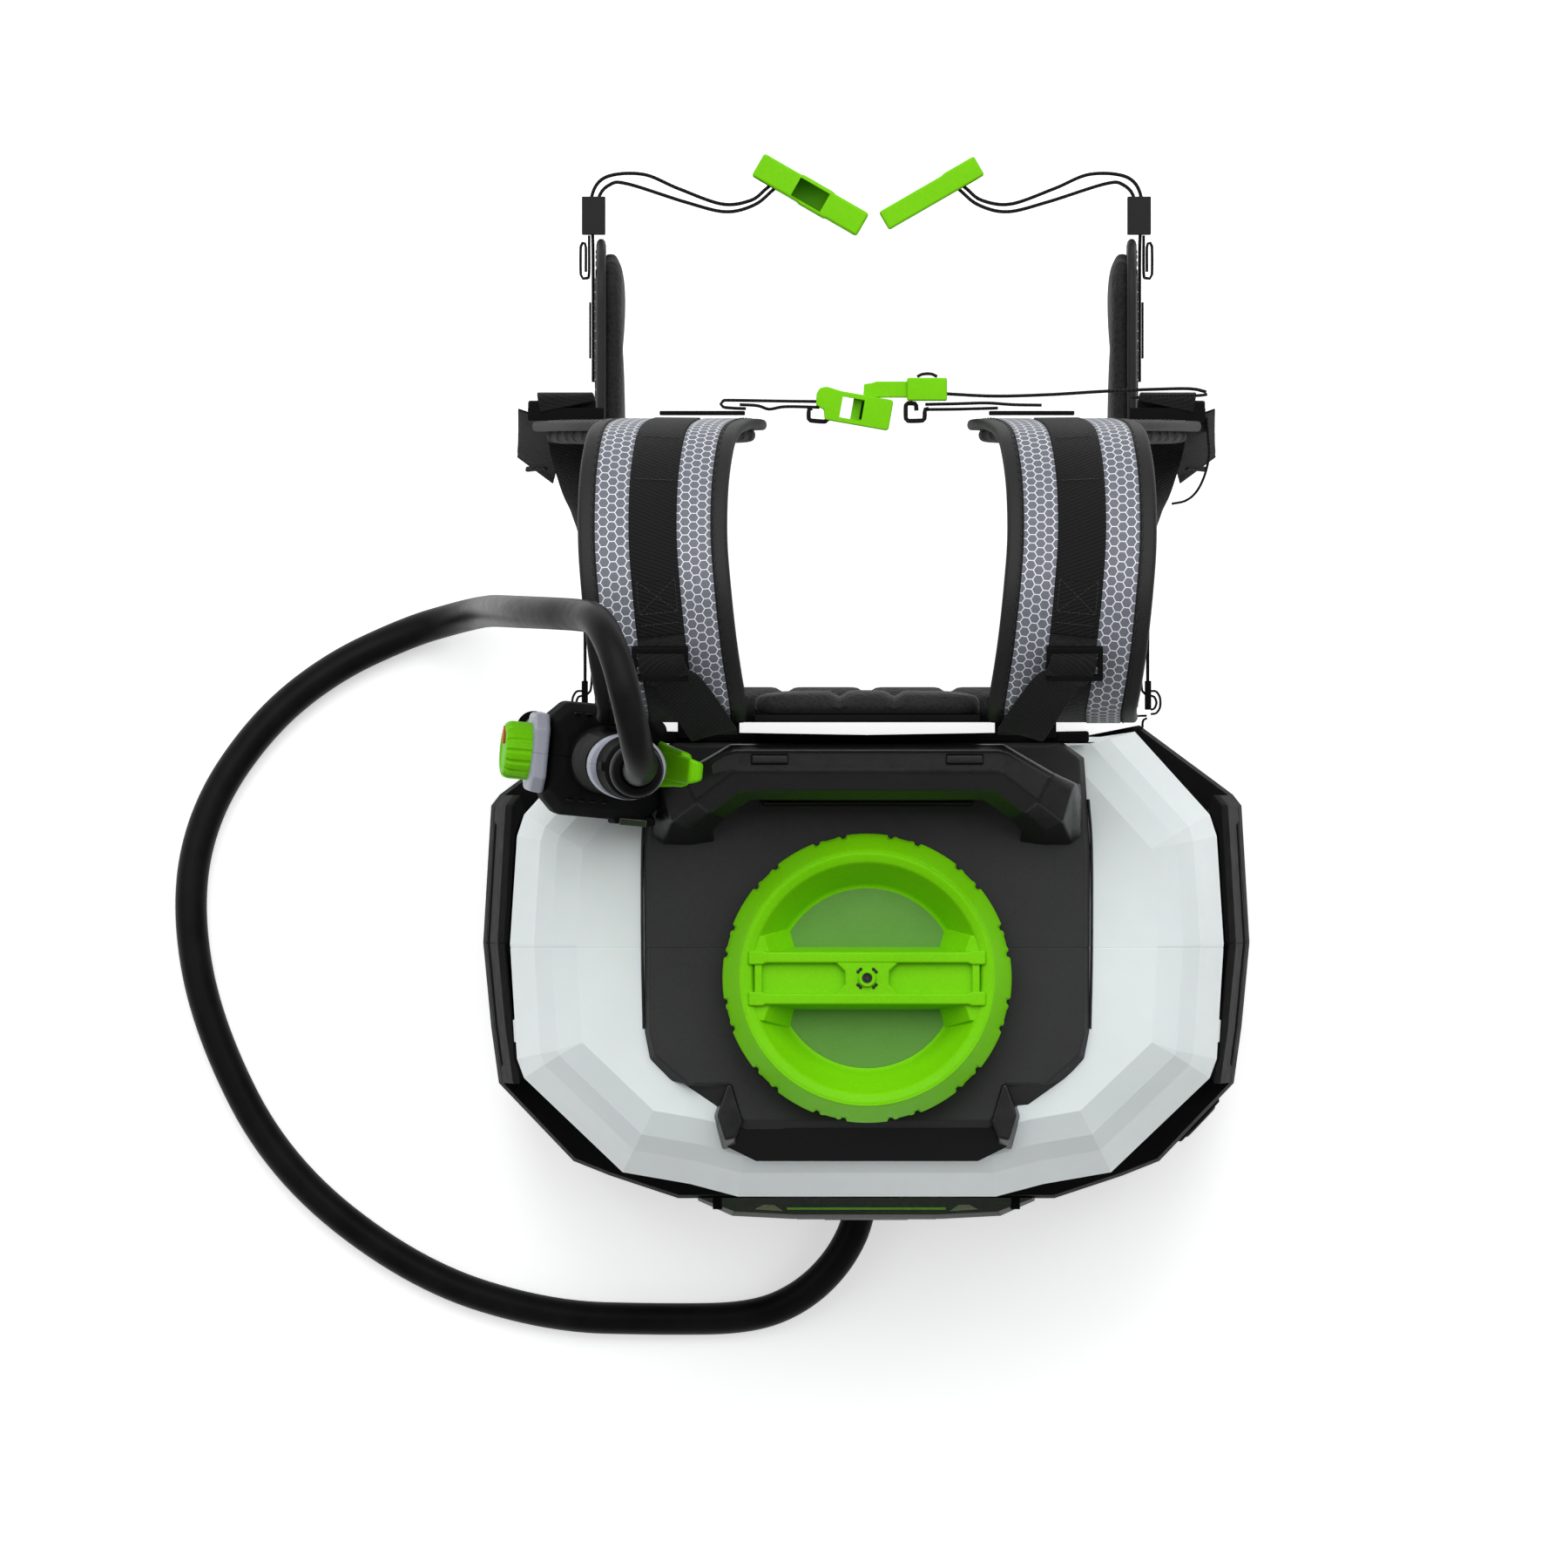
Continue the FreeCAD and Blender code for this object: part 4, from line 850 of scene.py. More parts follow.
def strap_section(half, thick, edge, columns):
    """Outline of a strap: flat on both faces, its edges softened in quarter turns."""
    flat = [-half + edge + 2 * (half - edge) * k / columns for k in range(columns + 1)]
    bend = [(math.cos(math.radians(a)), math.sin(math.radians(a))) for a in (-60, -30, 0, 30, 60)]
    right = [(half - edge + edge * c, 0.5 * thick * s) for c, s in bend]
    left = [(-u, -w) for u, w in right]
    return ([(u, -0.5 * thick) for u in flat] + right
            + [(u, 0.5 * thick) for u in reversed(flat)] + left)


def stitch_row(name, run, corners, lift, pitch, length, radius):
    """Thread stitches laid along straight lines between (along, across) corners."""
    bm = bmesh.new()
    for (s0, u0), (s1, u1) in zip(corners, corners[1:]):
        span = math.hypot(s1 - s0, u1 - u0)
        count = max(1, round(span / pitch))
        for k in range(count):
            t0 = (k + 0.5 - 0.5 * length / pitch) / count
            t1 = (k + 0.5 + 0.5 * length / pitch) / count
            a = run.at(s0 + (s1 - s0) * t0, u0 + (u1 - u0) * t0, lift)
            b = run.at(s0 + (s1 - s0) * t1, u0 + (u1 - u0) * t1, lift)
            add_capsule(bm, a, b, radius)
    return finish_piece(name, bm, "thread", ROOT, 60.0, weighted=False)


def add_capsule(bm, a, b, radius, sides=6):
    along = (b - a).normalized()
    across = along.orthogonal().normalized()
    other = along.cross(across)
    span = (b - a).length
    stations = ((0.0, 0.35), (0.12, 0.85), (0.3, 1.0), (0.7, 1.0), (0.88, 0.85), (1.0, 0.35))
    add_rings(bm, [[a + along * span * t + (across * math.cos(2 * math.pi * k / sides)
                                            + other * math.sin(2 * math.pi * k / sides)) * radius * r
                    for k in range(sides)] for t, r in stations])


STRAP_POINTS = [
    (-107.5, 132.6, 470.3), (-107.0, 132.6, 487.0), (-107.0, 139.0, 509.0), (-109.5, 154.0, 523.1),
    (-112.5, 175.0, 534.5), (-115.5, 204.0, 540.0), (-117.5, 233.0, 534.0), (-117.0, 262.0, 519.3),
    (-114.5, 283.0, 498.5), (-111.0, 294.0, 474.0), (-104.0, 298.5, 436.0), (-96.0, 298.5, 390.0),
    (-106.0, 298.5, 340.0), (-128.0, 298.5, 290.0), (-146.0, 298.5, 240.0),
]
STRAP_HALF = 41.0
BINDING = 9.5
COVER_THICK = 4.6
FOAM_THICK = 8.0
TAPE_THICK = 0.9
HONEYCOMB_WIDTH = 18.6
HONEYCOMB_SHIFT = 22.4
CENTRE_WEBBING = 25.4


def make_shoulder_strap():
    """Left shoulder strap: cover, foam, binding, honeycomb tapes, webbing and stitching."""
    run = Run(STRAP_POINTS, [(-1, 0, 0)])
    cover_lift = -TAPE_THICK / 2 - COVER_THICK / 2
    made = [run_strip("strap_cover_left", run, 2 * STRAP_HALF - 8, COVER_THICK, "pad", lift=cover_lift,
                      columns=6)]
    for side, word in ((1, "outer"), (-1, "inner")):
        shift = side * (STRAP_HALF - BINDING / 2)
        made.append(run_strip("strap_binding_%s_left" % word, run, BINDING, COVER_THICK + 1.2, "binding",
                              shift=shift, lift=cover_lift, lip=2.4, columns=2))
        made.append(run_strip("strap_honeycomb_%s_left" % word, run, HONEYCOMB_WIDTH, TAPE_THICK,
                              "honeycomb", shift=side * HONEYCOMB_SHIFT, lift=0.0, columns=3, start=4))
        row = side * (STRAP_HALF - BINDING + 1.6)
        made.append(stitch_row("strap_stitches_%s_left" % word, run,
                               [(6 + 25 * k, row) for k in range(int(run.length / 25))], 0.45,
                               pitch=7.0, length=4.6, radius=0.36))
    made.append(run_strip("strap_webbing_top_left", run, CENTRE_WEBBING, 1.6, "webbing", lift=0.3,
                          columns=2, start=run.where(lambda p: p.y > 178),
                          end=run.where(lambda p: p.y > 297) + 20))
    box_start = run.where(lambda p: p.y > 189)
    box_end = run.where(lambda p: p.y > 208)
    half = CENTRE_WEBBING / 2 - 2.2
    made.append(stitch_row("strap_box_left", run, [
        (box_start, -half), (box_end, -half), (box_end, half), (box_start, half), (box_start, -half),
        (box_end, half), (box_end, -half), (box_start, half)], 1.15, pitch=2.6, length=2.3, radius=0.34))
    for number, y in enumerate((184, 263, 287)):
        place = run.where(lambda p: p.y > y)
        made.append(stitch_row("strap_bar_%d_left" % number, run, [(place, -half), (place, half)], 1.15,
                               pitch=2.2, length=2.0, radius=0.34))
    foam = run_strip("strap_foam_left", run, 2 * STRAP_HALF - 10, FOAM_THICK, "pad",
                     lift=cover_lift - COVER_THICK / 2 - FOAM_THICK / 2 + 0.6, columns=8, start=6,
                     end=run.length - 4)
    top = cover_lift - COVER_THICK / 2 - 1.5

    def pinned(point):
        along, across, lift = run.locate(point)
        return lift > top or abs(across) > STRAP_HALF - 9 or abs(along % 84 - 42) < 2.2

    inflate(foam, 4.5, 4.0, pinned)
    both(made[0], "shoulder_pad_left", "shoulder_pad_right")
    for piece in made[1:]:
        both(piece)
    for piece in (foam, both(foam)):
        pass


WING = {"outer": -149.5, "inner": -134.0, "back": 137.0, "tip": 400.0, "low": 72.0, "high": 186.0,
        "corner": 34.0}


def corner_arc(x, y, radius, start, turns):
    """A quarter turn about a centre, from a start angle in degrees."""
    angles = [math.radians(start + 90 * k / turns) for k in range(turns + 1)]
    return [(x + radius * math.cos(a), y + radius * math.sin(a)) for a in angles]


def wing_outline(step):
    """Side outline of a belt wing in Y and Z, drawn in by a step, with round tip corners."""
    back, tip = WING["back"] + step, WING["tip"] - step
    low, high = WING["low"] + step, WING["high"] - step
    corner = WING["corner"] - step
    return (corner_arc(tip - corner, low + corner, corner, -90, 8)
            + corner_arc(tip - corner, high - corner, corner, 0, 8)
            + corner_arc(back + 4, high - 4, 4, 90, 3) + corner_arc(back + 4, low + 4, 4, 180, 3))


def wing_plate(name, levels, look):
    """A plate on edge: levels are (x, inset) pairs from one face to the other."""
    return loft(name, [[(x, y, z) for y, z in wing_outline(step)] for x, step in levels], look,
                width=0, smooth=40.0)


def make_belt_wing():
    outer, inner = WING["outer"], WING["inner"]
    cover = wing_plate("wing_cover_left", [
        (outer, 3.2), (outer + 0.6, 1.2), (outer + 1.8, 0.0), (outer + 3.8, 0.0), (outer + 4.9, 1.2),
        (outer + 5.4, 3.2)], "binding")
    foam = wing_plate("wing_foam_left", [(outer + 5.2, 8.6), (outer + 6.0, 7.8), (inner - 5.0, 8.2),
                                         (inner - 1.8, 11.6), (inner - 0.9, 16.0)], "pad")

    def pinned(point):
        rim = min(point.z - WING["low"], WING["high"] - point.z, WING["tip"] - point.y) < 7
        return point.x < outer + 8.5 or rim or abs(point.y % 62 - 31) < 2.2

    inflate(foam, 4.5, 2.0, pinned)
    made = []
    for word, z in (("low", 97.0), ("high", 161.0)):
        run = Run([(outer - 0.35, WING["back"] + 4, z), (outer - 0.35, WING["tip"] - 22, z)], [(0, 0, 1)])
        made.append(run_strip("wing_honeycomb_%s_left" % word, run, HONEYCOMB_WIDTH, TAPE_THICK,
                              "honeycomb"))
    path = [(outer - 0.1, y, z) for y, z in wing_outline(6.5)]
    run = Run(path + path[:1], [(1, 0, 0)], 2.0)
    made.append(stitch_row("wing_stitches_left", run, [(k * 20.0, 0) for k in range(int(run.length / 20))],
                           0.0, pitch=6.0, length=4.2, radius=0.36))
    both(cover, "belt_wing_left", "belt_wing_right")
    for piece in (foam, both(foam)):
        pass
    for piece in made:
        both(piece)


SEAM_DEPTH = 3.2
SEAM_REACH = 3.5


def make_pad(name, node, lines_x, lines_z):
    """A pad on the back plate, quilted by vertical and level seams that stay pulled in."""
    low, high = [Vector(c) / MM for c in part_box(node)]
    rings = []
    for y, step in ((low.y, 1.0), (low.y + 2, 0.0), (high.y - 5.5, 0.0), (high.y - 3.0, 2.5)):
        rings.append([(x, y, z) for x, z in soft_rectangle(low.x + step, high.x - step, low.z + step,
                                                           high.z - step, 12 - step)])
    pad = loft(name, rings, "pad", width=0, smooth=40.0, weighted=False)

    def seam_gap(point):
        return min([abs(point.x - x) for x in lines_x] + [abs(point.z - z) for z in lines_z])

    def pinned(point):
        return point.y < low.y + 3 or seam_gap(point) < 2.4

    inflate(pad, 5.0, 4.0, pinned)
    for vertex in pad.data.vertices:
        point = vertex.co / MM
        if point.y > low.y + 4:
            vertex.co.y -= SEAM_DEPTH * MM * math.exp(-(seam_gap(point) / SEAM_REACH) ** 2)
    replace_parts(pad, node)


def soft_rectangle(x0, x1, z0, z1, corner):
    return [point for x, z, start in ((x1 - corner, z0 + corner, -90), (x1 - corner, z1 - corner, 0),
                                      (x0 + corner, z1 - corner, 90), (x0 + corner, z0 + corner, 180))
            for point in corner_arc(x, z, corner, start, 5)]


CHEST_Z = 392.0
BELT_Z = 129.0
BELT_WIDTH = 38.0
BELT_LINE = [(-151.2, 321), (-151.2, 350), (-151.4, 398), (-152.6, 421), (-145, 434), (-124, 436),
             (-104, 428), (-80, 419.5), (-64, 421.5), (-56, 427.5), (-52, 431)]
BELT_LOOP = [(-148.4, 402.6), (-148.4, 422), (-142, 430.2), (-132, 430.6), (-100, 420.5), (-78, 415.2),
             (-62, 419), (-52, 427), (-48.6, 430)]


def both(piece, *nodes):
    """A left piece and its mirror image; nodes are the CAD nodes they stand for, left and right."""
    if nodes:
        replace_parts(piece, nodes[0])
    return mirrored(piece, piece.name.replace("_left", "_right"), nodes[1:])


def make_webbing():
    # load lifters: over the shoulder's ladder lock, then down behind the strap to its anchor bar
    lifter = Run([(-112.8, 171.5, 541.8), (-112.8, 164, 543.2), (-109.5, 158, 539.0),
                  (-103.5, 153.8, 532.7), (-93.0, 139.0, 516.0), (-85.5, 127.6, 503.5), (-84, 126, 494),
                  (-84, 126, 467.6)],
                 [(-1, 0, 0), (-1, 0, 0), (-1, -0.25, 0), (-1, -0.3, 0), (-1, 0, 0)], 2.0)
    both(run_strip("load_lifter_left", lifter, WEBBING, WEBBING_THICK, "webbing", columns=2, step=2),
         "load_lifters")
    # lower webbing: flat at the strap's end, on edge beside the waist belt
    lower = Run([(-164.3, 301.5, 236), (-164.3, 297.0, 221), (-161.5, 274, 207), (-157.0, 248, 190.5),
                 (-155.7, 228, 178), (-155.7, 196, 157.5), (-155.7, 167, 139), (-155.7, 156, 132)],
                [(1, 0, 0), (1, 0, 0), (0.8, 0, 0.6), (0.3, 0.3, 0.9), (0, 0.5, 0.85), (0, 0.5, 0.85),
                 (0, 0.5, 0.85), (0, 0.4, 0.9)], 2.0)
    both(run_strip("lower_webbing_left", lower, WEBBING, WEBBING_THICK, "webbing", columns=2, step=2),
         "strap_webbing_left", "strap_webbing_right")
    # belt
    both(on_edge("belt_outer_left", BELT_LINE, BELT_Z, BELT_WIDTH, WEBBING_THICK, "webbing"),
         "belt_webbing_left", "belt_webbing_right")
    both(on_edge("belt_inner_left", BELT_LOOP, BELT_Z, BELT_WIDTH, WEBBING_THICK, "webbing"))
    # chest strap: each side is doubled through its slider, and the spare end runs off to the right
    for name, thick, line in CHEST_LINES:
        on_edge("chest_" + name, line, CHEST_Z, WEBBING, thick, "webbing", "chest_strap")
    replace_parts(bpy.data.objects["chest_webbing_left"], "chest_webbing")


CHEST_LINES = [
    ("webbing_left", 1.6, [(-66.5, 304.7), (-74, 305.0), (-79.0, 305.6), (-80.4, 307.2), (-79.0, 309.0),
                           (-75, 309.3), (-50, 308.9), (-26, 308.6)]),
    ("webbing_left_under", 1.6, [(-70, 306.9), (-60, 306.3), (-54, 304.4), (-47, 305.6), (-40, 305.8),
                                 (-26, 305.4)]),
    ("loop_left", 2.4, [(-30.2, 305), (-31.8, 304.4), (-32.0, 299.2), (-31.0, 298.2), (-23.0, 297.6),
                        (-21.8, 298.6), (-21.6, 302.0)]),
    ("webbing_right", 1.6, [(96, 306.6), (80, 306.9), (66, 307.8), (50, 307.4), (32, 307.0)]),
    ("webbing_right_under", 1.6, [(72, 305.0), (50, 304.4), (32, 304.2)]),
    ("loop_right", 2.4, [(34, 304.6), (32.0, 304.2), (31.6, 299.2), (30.6, 298.2), (22.6, 298.0),
                         (21.4, 299.2), (21.4, 306.6), (22.4, 307.6), (26.4, 307.4), (27.0, 306.4),
                         (27.2, 303.6)]),
    ("tail", WEBBING_THICK, [(42.0, 312.9), (70, 311.6), (100, 312.4), (130, 314.2), (160, 315.4),
                             (178, 315.6), (186.5, 313.9)]),
    ("tail_fold", 1.6, [(187.0, 312.6), (182, 311.9), (162, 311.5), (145, 310.6)]),
    ("plug_wrap", 1.6, [(27.6, 322.3), (30.2, 323.6), (33, 323.9), (36, 323.6), (38.6, 322.3)]),
]


def make_small_webbing():
    """The folded, looped and hanging spare ends, seen edge-on from above."""
    both(on_edge("belt_fold_left", [(-153.5, 402), (-153.5, 381.4), (-154.4, 378.5), (-156.9, 378.2),
                                    (-158.1, 380.4), (-158.1, 396), (-157.1, 398), (-155.8, 397.6),
                                    (-155.3, 395.5), (-155.3, 382.0)], BELT_Z, BELT_WIDTH, 1.4, "webbing"))
    both(on_edge("belt_doubled_left", [(-152.9, 365), (-152.9, 334)], BELT_Z, BELT_WIDTH, 1.1, "webbing"))
    # lower ladder lock: webbing rolled over its bar, a cheek on the outside and a hanging end
    roll = Run([(-164.3, 300.5, 229), (-165, 307.5, 229.5), (-166, 312.4, 233), (-166.4, 313.8, 238.5),
                (-166.2, 312.0, 243.5), (-165, 306.8, 245.5)], [(1, 0, 0)], 1.0)
    both(run_strip("lower_roll_left", roll, 31, 1.6, "webbing", columns=2, step=1))
    both(block("lower_cheek_left", (-187, 301.5, 225), (-174, 310.2, 245), "black", width=1.2, taper=0.6))
    tail = Run([(-180.5, 301, 226), (-181, 294, 205), (-181.8, 284, 176), (-182.6, 276, 156),
                (-183.2, 272.4, 148)],
               [(0.4, 0.05, 0.6), (0.44, 0.05, 0.9), (0.48, 0.05, 0.88)], 2.0)
    both(run_strip("lower_tail_left", tail, WEBBING, 1.3, "webbing", columns=2, step=2))
    hem = Run([(-187.6, 272.6, 140), (-177.0, 273.6, 160)], [(0.3, 1, 0)], 1.0)
    both(run_strip("lower_tail_hem_left", hem, 3.0, 2.4, "webbing", columns=1, step=1))
    on_edge("spare_loop_right", [(187.7, 301), (188.7, 290), (189.2, 279.6), (186.4, 267.9), (181.8, 259.3),
                                 (176, 254.8), (168.6, 253.2)], 206, WEBBING, 1.3, "webbing")
    # side tri-glide: the webbing's S round its bar
    for name, line in (
            ("glide_strap", [(-151.6, 166), (-152.4, 152), (-153.4, 149.2), (-155.2, 147.6)]),
            ("glide_outer", [(-157.4, 149.9), (-160.4, 149.6), (-162.4, 146.6), (-162.8, 143.4),
                             (-162.4, 140.4), (-160.4, 137.6), (-157.4, 137.1)]),
            ("glide_inner", [(-157.4, 147.2), (-159.4, 146.6), (-160.6, 143.4), (-159.4, 140.2),
                             (-157.4, 139.6)]),
            ("glide_to_pad", [(-144.2, 134.2), (-146.4, 135.4), (-150, 136.0), (-155.2, 136.2)]),
            ("glide_to_base", [(-152.9, 129.6), (-152.9, 132.2), (-153.6, 134.0), (-155.4, 134.8)])):
        both(on_edge(name + "_left", line, BELT_Z, WEBBING, 1.2, "webbing", step=1.0))


CHEST_TURN = -10.0
CHEST_SOCKET = (-7.5, 304.5)
BELT_TURN = -30.0
BELT_SOCKET = (-31.0, 424.5)
BELT_PLUG = (36.0, 425.5)


def tilted(centre, degrees):
    return Matrix.Translation(Vector((*centre, 0.0)) * MM) @ Matrix.Rotation(math.radians(degrees), 4, "Z")


def plan_loft(name, outline, low, high, body, width, matrix, *stands_for):
    """A green piece with one plan outline from one height to another, and rounded edges."""
    return loft(name, extrude(outline, low, high), "green", body, width, matrix=matrix,
                stands_for=stands_for)


def cutter_box(low, high, matrix):
    """A bare box for carve()."""
    bm = bmesh.new()
    add_rings(bm, [rectangle(low[0], high[0], low[1], high[1], z) for z in (low[2], high[2])])
    bm.transform(matrix)
    return plain_object(bm)


def make_buckles():
    turn = tilted(CHEST_SOCKET, CHEST_TURN)
    low, high = CHEST_Z - 17, CHEST_Z + 17
    outline = [(-14.5, -8.5), (20.0, -8.5), (21.0, -7.5), (21.0, 7.5), (20.0, 8.5), (-8.0, 8.5),
               (-16.5, 9.6), (-20.0, 8.2), (-21.4, 5.0), (-20.6, -1.5), (-16.0, -3.2)]
    socket = plan_loft("chest_socket", outline, low, high, "chest_strap", 1.1, turn, "chest_buckle_socket")
    carve(socket, cutter_box((-6.8, -5.8, low - 5), (-0.8, 5.8, high + 5), turn),
          cutter_box((-0.9, -5.8, high - 9), (5.4, 5.8, high + 5), turn),
          cutter_box((-0.9, -5.8, low - 5), (5.4, 5.8, low + 9), turn),
          cutter_box((4, -5, CHEST_Z - 13), (24, 5, CHEST_Z + 13), turn))
    plan_loft("chest_plug", [(22, 309.0), (44, 309.0), (44, 321.6), (22, 321.6)], low, high, "chest_strap",
              1.0, None, "chest_buckle_plug")
    tip = [(-2, 311.2), (2.6, 310.8), (22.5, 310.8), (22.5, 319.6), (5.2, 319.6), (2.2, 318.6),
           (-1.6, 318.2)]
    for k in range(3):
        middle = CHEST_Z - 11 + 11 * k
        plan_loft("chest_prong_%d" % k, tip, middle - 3.4, middle + 3.4, "chest_strap", 0.6, None)
    turn = tilted(BELT_SOCKET, BELT_TURN)
    low, high = BELT_Z - 24, BELT_Z + 24
    outline = [(-33.5, -7.2), (-5, -7.2), (-3, -7.8), (12, -7.8), (14, -7.2), (33.5, -7.2), (33.5, 7.2),
               (12, 7.2), (10, 7.8), (-8, 7.8), (-10, 7.2), (-33.5, 7.2)]
    socket = plan_loft("belt_socket", outline, low, high, ROOT, 1.6, turn, "belt_buckle_socket")
    carve(socket, cutter_box((-9.3, -5.7, high - 26), (9.3, 5.7, high + 5), turn),
          cutter_box((12, -3.8, BELT_Z - 17), (36, 3.8, BELT_Z + 17), turn),
          cutter_box((-28.5, -9, BELT_Z - 19), (-21.5, 0, BELT_Z + 19), turn))
    turn = tilted(BELT_PLUG, -BELT_TURN)
    outline = [(-30.5, -6), (30.5, -6), (30.5, 6), (12, 6), (9, 5.4), (-30.5, 5.4)]
    plug = plan_loft("belt_plug", outline, low, high, ROOT, 1.3, turn, "belt_buckle_plug")
    carve(plug, cutter_box((-32, -3.6, BELT_Z - 17), (-25.5, 3.4, high - 3), turn),
          cutter_box((18.5, -9, BELT_Z - 19), (25.5, 0, BELT_Z + 19), turn))


make_shoulder_strap()
make_belt_wing()
make_pad("back_cushion", "back_pad", (-15.0, 15.0), (268.0, 330.0, 392.0, 454.0))
make_pad("lumbar_cushion", "lumbar_pad", (-90.0, -45.0, 0.0, 45.0, 90.0), ())
make_webbing()
make_small_webbing()


# ---- tank, deck and lid -------------------------------------------------------------------
TANK_HALF = [(71, -128.6), (97, -121.7), (134.4, -115.2), (188.6, -63.4), (192.5, -52.8),
             (196.3, 10.6), (192.5, 69.6), (188.6, 81.6), (147.4, 127.2), (128.2, 124.3)]
SEAM_Y = 8.4
FILLER_Y = -8.2


def full_outline(half):
    """Close a right-half outline with its mirror image."""
    return list(half) + [(-x, *rest) for x, *rest in reversed(half)]


def meeting_point(first, second):
    """Where two lines (point, direction) in the plane cross; the second's own point if parallel."""
    (p, u), (q, v) = first, second
    det = u.x * v.y - u.y * v.x
    if abs(det) < 0.02:
        return q
    return p + u * (((q.x - p.x) * v.y - (q.y - p.y) * v.x) / det)


def drawn_in(points, step, flat_share=1.0, flat_y=120.0):
    """Move each edge of a counter-clockwise outline inwards; edges beyond flat_y move less.

    An edge that shrinks to nothing on the way is dropped: its two corners become one point."""
    count = len(points)
    corners = [Vector(p) for p in points]
    lines = []
    for a, b in zip(corners, corners[1:] + corners[:1]):
        along = (b - a).normalized()
        share = flat_share if min(a.y, b.y) > flat_y else 1.0
        lines.append((a + Vector((-along.y, along.x)) * step * share, along))
    alive = list(range(count))
    while True:
        starts = {i: meeting_point(lines[alive[k - 1]], lines[i]) for k, i in enumerate(alive)}
        lengths = [((starts[alive[(k + 1) % len(alive)]] - starts[i]).dot(lines[i][1]), i)
                   for k, i in enumerate(alive)]
        shortest, edge = min(lengths)
        if shortest > 0 or len(alive) <= 3:
            break
        alive.remove(edge)
    moved = []
    for i in range(count):
        while i not in starts:
            i = (i + 1) % count
        moved.append((starts[i].x, starts[i].y))
    return moved


def level_rings(outline, levels, flat_share=1.0):
    return [[(x, y, z) for x, y in drawn_in(outline, step, flat_share)] for z, step in levels]


def plain_object(bm):
    """A bare object for a boolean, not a piece."""
    bmesh.ops.recalc_face_normals(bm, faces=bm.faces)
    mesh = bpy.data.meshes.new("cutter")
    bm.to_mesh(mesh)
    bm.free()
    made = bpy.data.objects.new("cutter", mesh)
    scene.collection.objects.link(made)
    return made


def filler_cylinder(radius, steps=96):
    """A bare cylinder round the filler's axis, for carve()."""
    turns = [2 * math.pi * k / steps for k in range(steps)]
    bm = bmesh.new()
    add_rings(bm, extrude([(radius * math.cos(a), FILLER_Y + radius * math.sin(a)) for a in turns],
                          380, 420))
    return plain_object(bm)


def carve(piece, *cutters):
    """Cut bare objects out of a piece for good, then drop them."""
    for cutter in cutters:
        boolean = piece.modifiers.new("carve", "BOOLEAN")
        boolean.object = cutter
        boolean.solver = "EXACT"
        boolean.use_self = True
    material = piece.data.materials[0]
    bake_modifiers(piece)
    while len(piece.data.materials) > 1:
        piece.data.materials.pop()
    piece.data.materials[0] = material
    piece.data.polygons.foreach_set("material_index", [0] * len(piece.data.polygons))
    for cutter in cutters:
        bpy.data.meshes.remove(cutter.data)
    piece.modifiers.new("weighted", "WEIGHTED_NORMAL").keep_sharp = True


CROWN = [(142, 6), (146, 3.5), (170, 1), (300, 0), (351, 0), (382, 13.2), (392.5, 22.5), (400, 36.5)]
CROWN_FRONT_SHARE = 0.16
TANK_WALL = 3.0


def make_tank():
    outline = full_outline(TANK_HALF)
    join = 0.01 * MM
    tank = loft("tank", level_rings(outline, CROWN, CROWN_FRONT_SHARE), "tank", ROOT, 4.2, 4, 6.0,
                seam=(SEAM_Y, 0.9, 0.3), smooth=40.0, weighted=False, merge=join,
                stands_for=["tank_shell"])
    inner = bmesh.new()
    levels = [(z, step + TANK_WALL * 1.15) for z, step in CROWN[2:-1]]
    levels = [(142 + TANK_WALL, 10)] + levels + [(400 - TANK_WALL, 39)]
    add_rings(inner, level_rings(outline, levels, CROWN_FRONT_SHARE))
    bmesh.ops.remove_doubles(inner, verts=inner.verts, dist=join)
    carve(tank, plain_object(inner), filler_cylinder(61.0))
    lathe("filler_neck", [(61, 397), (66, 397), (66, 415), (67.5, 416), (67.5, 417.4), (66, 418.2),
                          (66, 421.6), (67.5, 422.6), (67.5, 424), (66, 425), (66, 427.4), (65.4, 428),
                          (61.6, 428), (61, 427.4), (61, 402), (58.5, 402), (58.5, 397)], "tank",
          centre=(0, FILLER_Y))
    # raised graduation ticks on both sides of the tank
    for side in (1, -1):
        bm = bmesh.new()
        for k in range(13):
            z = 172 + 14.0 * k
            inset = max(1.0 - (z - 170) / 130.0, 0.0)
            add_tick(bm, side * (193.1 - inset), -44.0, z, 13.0 if k % 3 == 0 else 7.0)
        finish_piece("graduations_" + side_word(side), bm, "tank", ROOT, 40.0)


def add_tick(bm, x, y, z, length):
    """A small raised bar that lies along Y on a side wall, which leans out with Y."""
    side = math.copysign(1.0, x)
    slope = side * 3.8 / 63.4
    rings = []
    for out, draw in ((-0.9, 0.0), (0.9, 0.5)):
        y0, y1, z0, z1 = y + draw, y + length - draw, z - 0.9 + 0.8 * draw, z + 0.9 - 0.8 * draw
        rings.append([(x + side * out + (b - y) * slope, b, c)
                      for b, c in ((y0, z0), (y1, z0), (y1, z1), (y0, z1))])
    add_rings(bm, rings)


